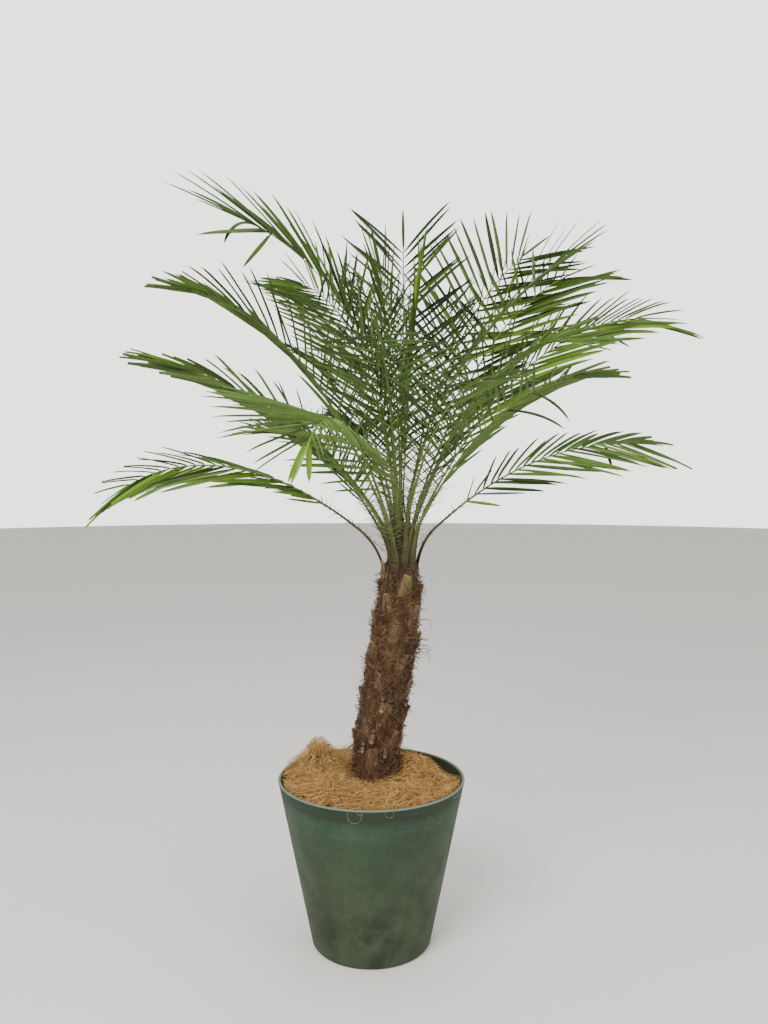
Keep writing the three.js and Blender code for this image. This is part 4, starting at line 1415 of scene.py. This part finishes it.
def leaflet_mesh(rows):
    """Folded blades with a keel, one for each row. Slot 1 holds their lower faces."""
    root, way, above, length, width, droop, bend, blunt = (np.array(column, float) for column in zip(*rows))
    s = LEAFLET_STATIONS
    aside = np.cross(way, above)[:, None, :]

    def heading(at):
        down = np.zeros((len(root), len(at), 3))
        down[..., 2] = -(droop[:, None] * at[None] ** 1.5) * 1.8
        return unit(way[:, None, :] + down + aside * (bend[:, None] * at[None])[..., None])

    steps = heading((s[1:] + s[:-1]) / 2) * (length[:, None] * np.diff(s)[None])[..., None]
    centres = root[:, None, :] + np.concatenate([np.zeros((len(root), 1, 3)), np.cumsum(steps, 1)], 1)
    ahead = heading(s)
    across = unit(np.cross(ahead, above[:, None, :]))
    up = np.cross(across, ahead)
    shape = LEAFLET_HALF[None] + blunt[:, None] * (BLUNT_HALF - LEAFLET_HALF)[None]
    half = width[:, None] / 2 * shape
    rise, reach = half * np.sin(LEAFLET_FOLD)[None], half * np.cos(LEAFLET_FOLD)[None]
    keel, zero = -LEAFLET_THICKNESS * (0.25 + 0.75 * shape), np.zeros_like(half)
    corners = ((-reach, rise), (zero, zero), (reach, rise), (zero, keel))
    offsets = np.stack([np.stack(corner, -1) for corner in corners], 2)
    vertices, faces, sides = sweep(centres, across, up, offsets)
    slots = [int(side in (2, 3)) for side in sides]
    return vertices, facing_out(vertices, faces, len(corners), len(s)), slots


class PALM_OT_leaflets(bpy.types.Operator):
    """Grow two rows of folded leaflets on every rib, dealt into greens by frond, partly as painted light and
    shade
    """

    bl_idname = "palm.make_leaflets"
    bl_label = "Leaflets"

    def execute(self, context):
        settings = context.scene.palm_fronds
        rng = np.random.default_rng(5)
        dealt = [[] for _ in range(TONES)]
        for tone, row in loose_rows(settings):
            dealt[tone].append(row)
        for frond in FRONDS:
            for row in leaflet_rows(frond, settings, rng):
                tone = frond["tone"] + rng.choice(TONE_SHIFTS)
                dealt[int(np.clip(tone, 0, TONES - 1))].append(row)
        for tone, rows in enumerate(dealt):
            at = tone / (TONES - 1)
            upper = blend_colour(settings.deep, settings.bright, at**1.7)
            # Painted shade: the lower faces of the deeper tones are darker still.
            under = blend_colour(shade(settings.under, 0.36), settings.under, at)
            looks = (("upper", upper, 0.74, 0.46, 0.3), ("under", under, 0.8, 0.6, 0.22))
            materials = [
                mottled_material(
                    f"leaf_{side}_{tone}", tint, patches, 26, 220, dull, contrast=0.3, specular=gloss
                )
                for side, tint, patches, dull, gloss in looks
            ]
            vertices, faces, slots = leaflet_mesh(rows)
            make_piece(f"leaflets_{tone}", "frond", vertices, faces, materials, slots, sharp=24)
        return {"FINISHED"}


# ---------------------------------------------------------------- floor, lights and camera


class PALM_OT_stage(bpy.types.Operator):
    """Lay the pale floor, and set the lights and the camera"""

    bl_idname = "palm.make_stage"
    bl_label = "Stage"

    def execute(self, context):
        settings = context.scene.palm_stage
        profile = [(0, FLOOR_BOTTOM), (FLOOR_RADIUS, FLOOR_BOTTOM), (FLOOR_RADIUS, FLOOR_TOP), (0, FLOOR_TOP)]
        floor = bare_object("floor", *lathe(profile, 96))
        pale = mottled_material("pale_floor", settings.floor, 0.985, 3, 40, 0.7, contrast=0.03)
        floor.data.materials.append(pale)

        world = bpy.data.worlds.new("soft_sky")
        context.scene.world = world
        world.use_nodes = True
        nodes = Nodes(world.node_tree)
        backdrop = world.node_tree.nodes["Background"]
        seen = nodes.add("ShaderNodeLightPath").outputs["Is Camera Ray"]
        limits = {"Value": seen, "To Min": settings.sky, "To Max": settings.backdrop}
        backdrop.inputs["Color"].default_value = (1.0, 0.99, 0.965, 1.0)
        nodes.feed(backdrop.inputs["Strength"], nodes.add("ShaderNodeMapRange", limits))

        for name, key, place, looks_at, width, length in LIGHTS:
            light = bpy.data.lights.new(name, "AREA")
            light.energy = getattr(settings, key)
            light.shape = "RECTANGLE"
            light.size = width
            light.size_y = length
            lamp = bpy.data.objects.new(name, light)
            lamp.location = place
            aim = Vector((0, 0, looks_at)) - Vector(place)
            lamp.rotation_euler = aim.to_track_quat("-Z", "Y").to_euler()
            context.scene.collection.objects.link(lamp)

        camera = bpy.data.cameras.new("camera")
        camera.sensor_width = CAMERA_SENSOR
        camera.lens = CAMERA_LENS
        camera.clip_start = CAMERA_CLIP
        viewer = bpy.data.objects.new("camera", camera)
        viewer.location = CAMERA_PLACE
        viewer.rotation_euler = (math.radians(90 - CAMERA_TILT), 0, 0)
        context.scene.collection.objects.link(viewer)
        context.scene.camera = viewer
        return {"FINISHED"}


# ---------------------------------------------------------------- panel and registration

OPERATORS = (
    PALM_OT_stage,
    PALM_OT_planter,
    PALM_OT_soil,
    PALM_OT_coir,
    PALM_OT_stem,
    PALM_OT_stubs,
    PALM_OT_ribs,
    PALM_OT_spines,
    PALM_OT_leaflets,
)


class PALM_PT_panel(bpy.types.Panel):
    """Lists the palm's settings and the pieces it is made of"""

    bl_idname = "PALM_PT_panel"
    bl_label = "Potted Palm"
    bl_space_type = "VIEW_3D"
    bl_region_type = "UI"
    bl_category = "Palm"

    def draw(self, context):
        for operator in OPERATORS:
            self.layout.operator(operator.bl_idname)
        for name in SETTINGS:
            box = self.layout.box()
            settings = getattr(context.scene, name)
            for key in settings.bl_rna.properties.keys():
                if key not in ("rna_type", "name"):
                    box.prop(settings, key)


CLASSES = (*SETTINGS.values(), *OPERATORS, PALM_PT_panel)


def register():
    for cls in CLASSES:
        bpy.utils.register_class(cls)
    for name, settings in SETTINGS.items():
        setattr(bpy.types.Scene, name, bpy.props.PointerProperty(type=settings))


def unregister():
    for name in SETTINGS:
        delattr(bpy.types.Scene, name)
    for cls in reversed(CLASSES):
        bpy.utils.unregister_class(cls)


def main():
    register()
    for operator in OPERATORS:
        category, name = operator.bl_idname.split(".")
        getattr(getattr(bpy.ops, category), name)()


if __name__ == "__main__":
    main()
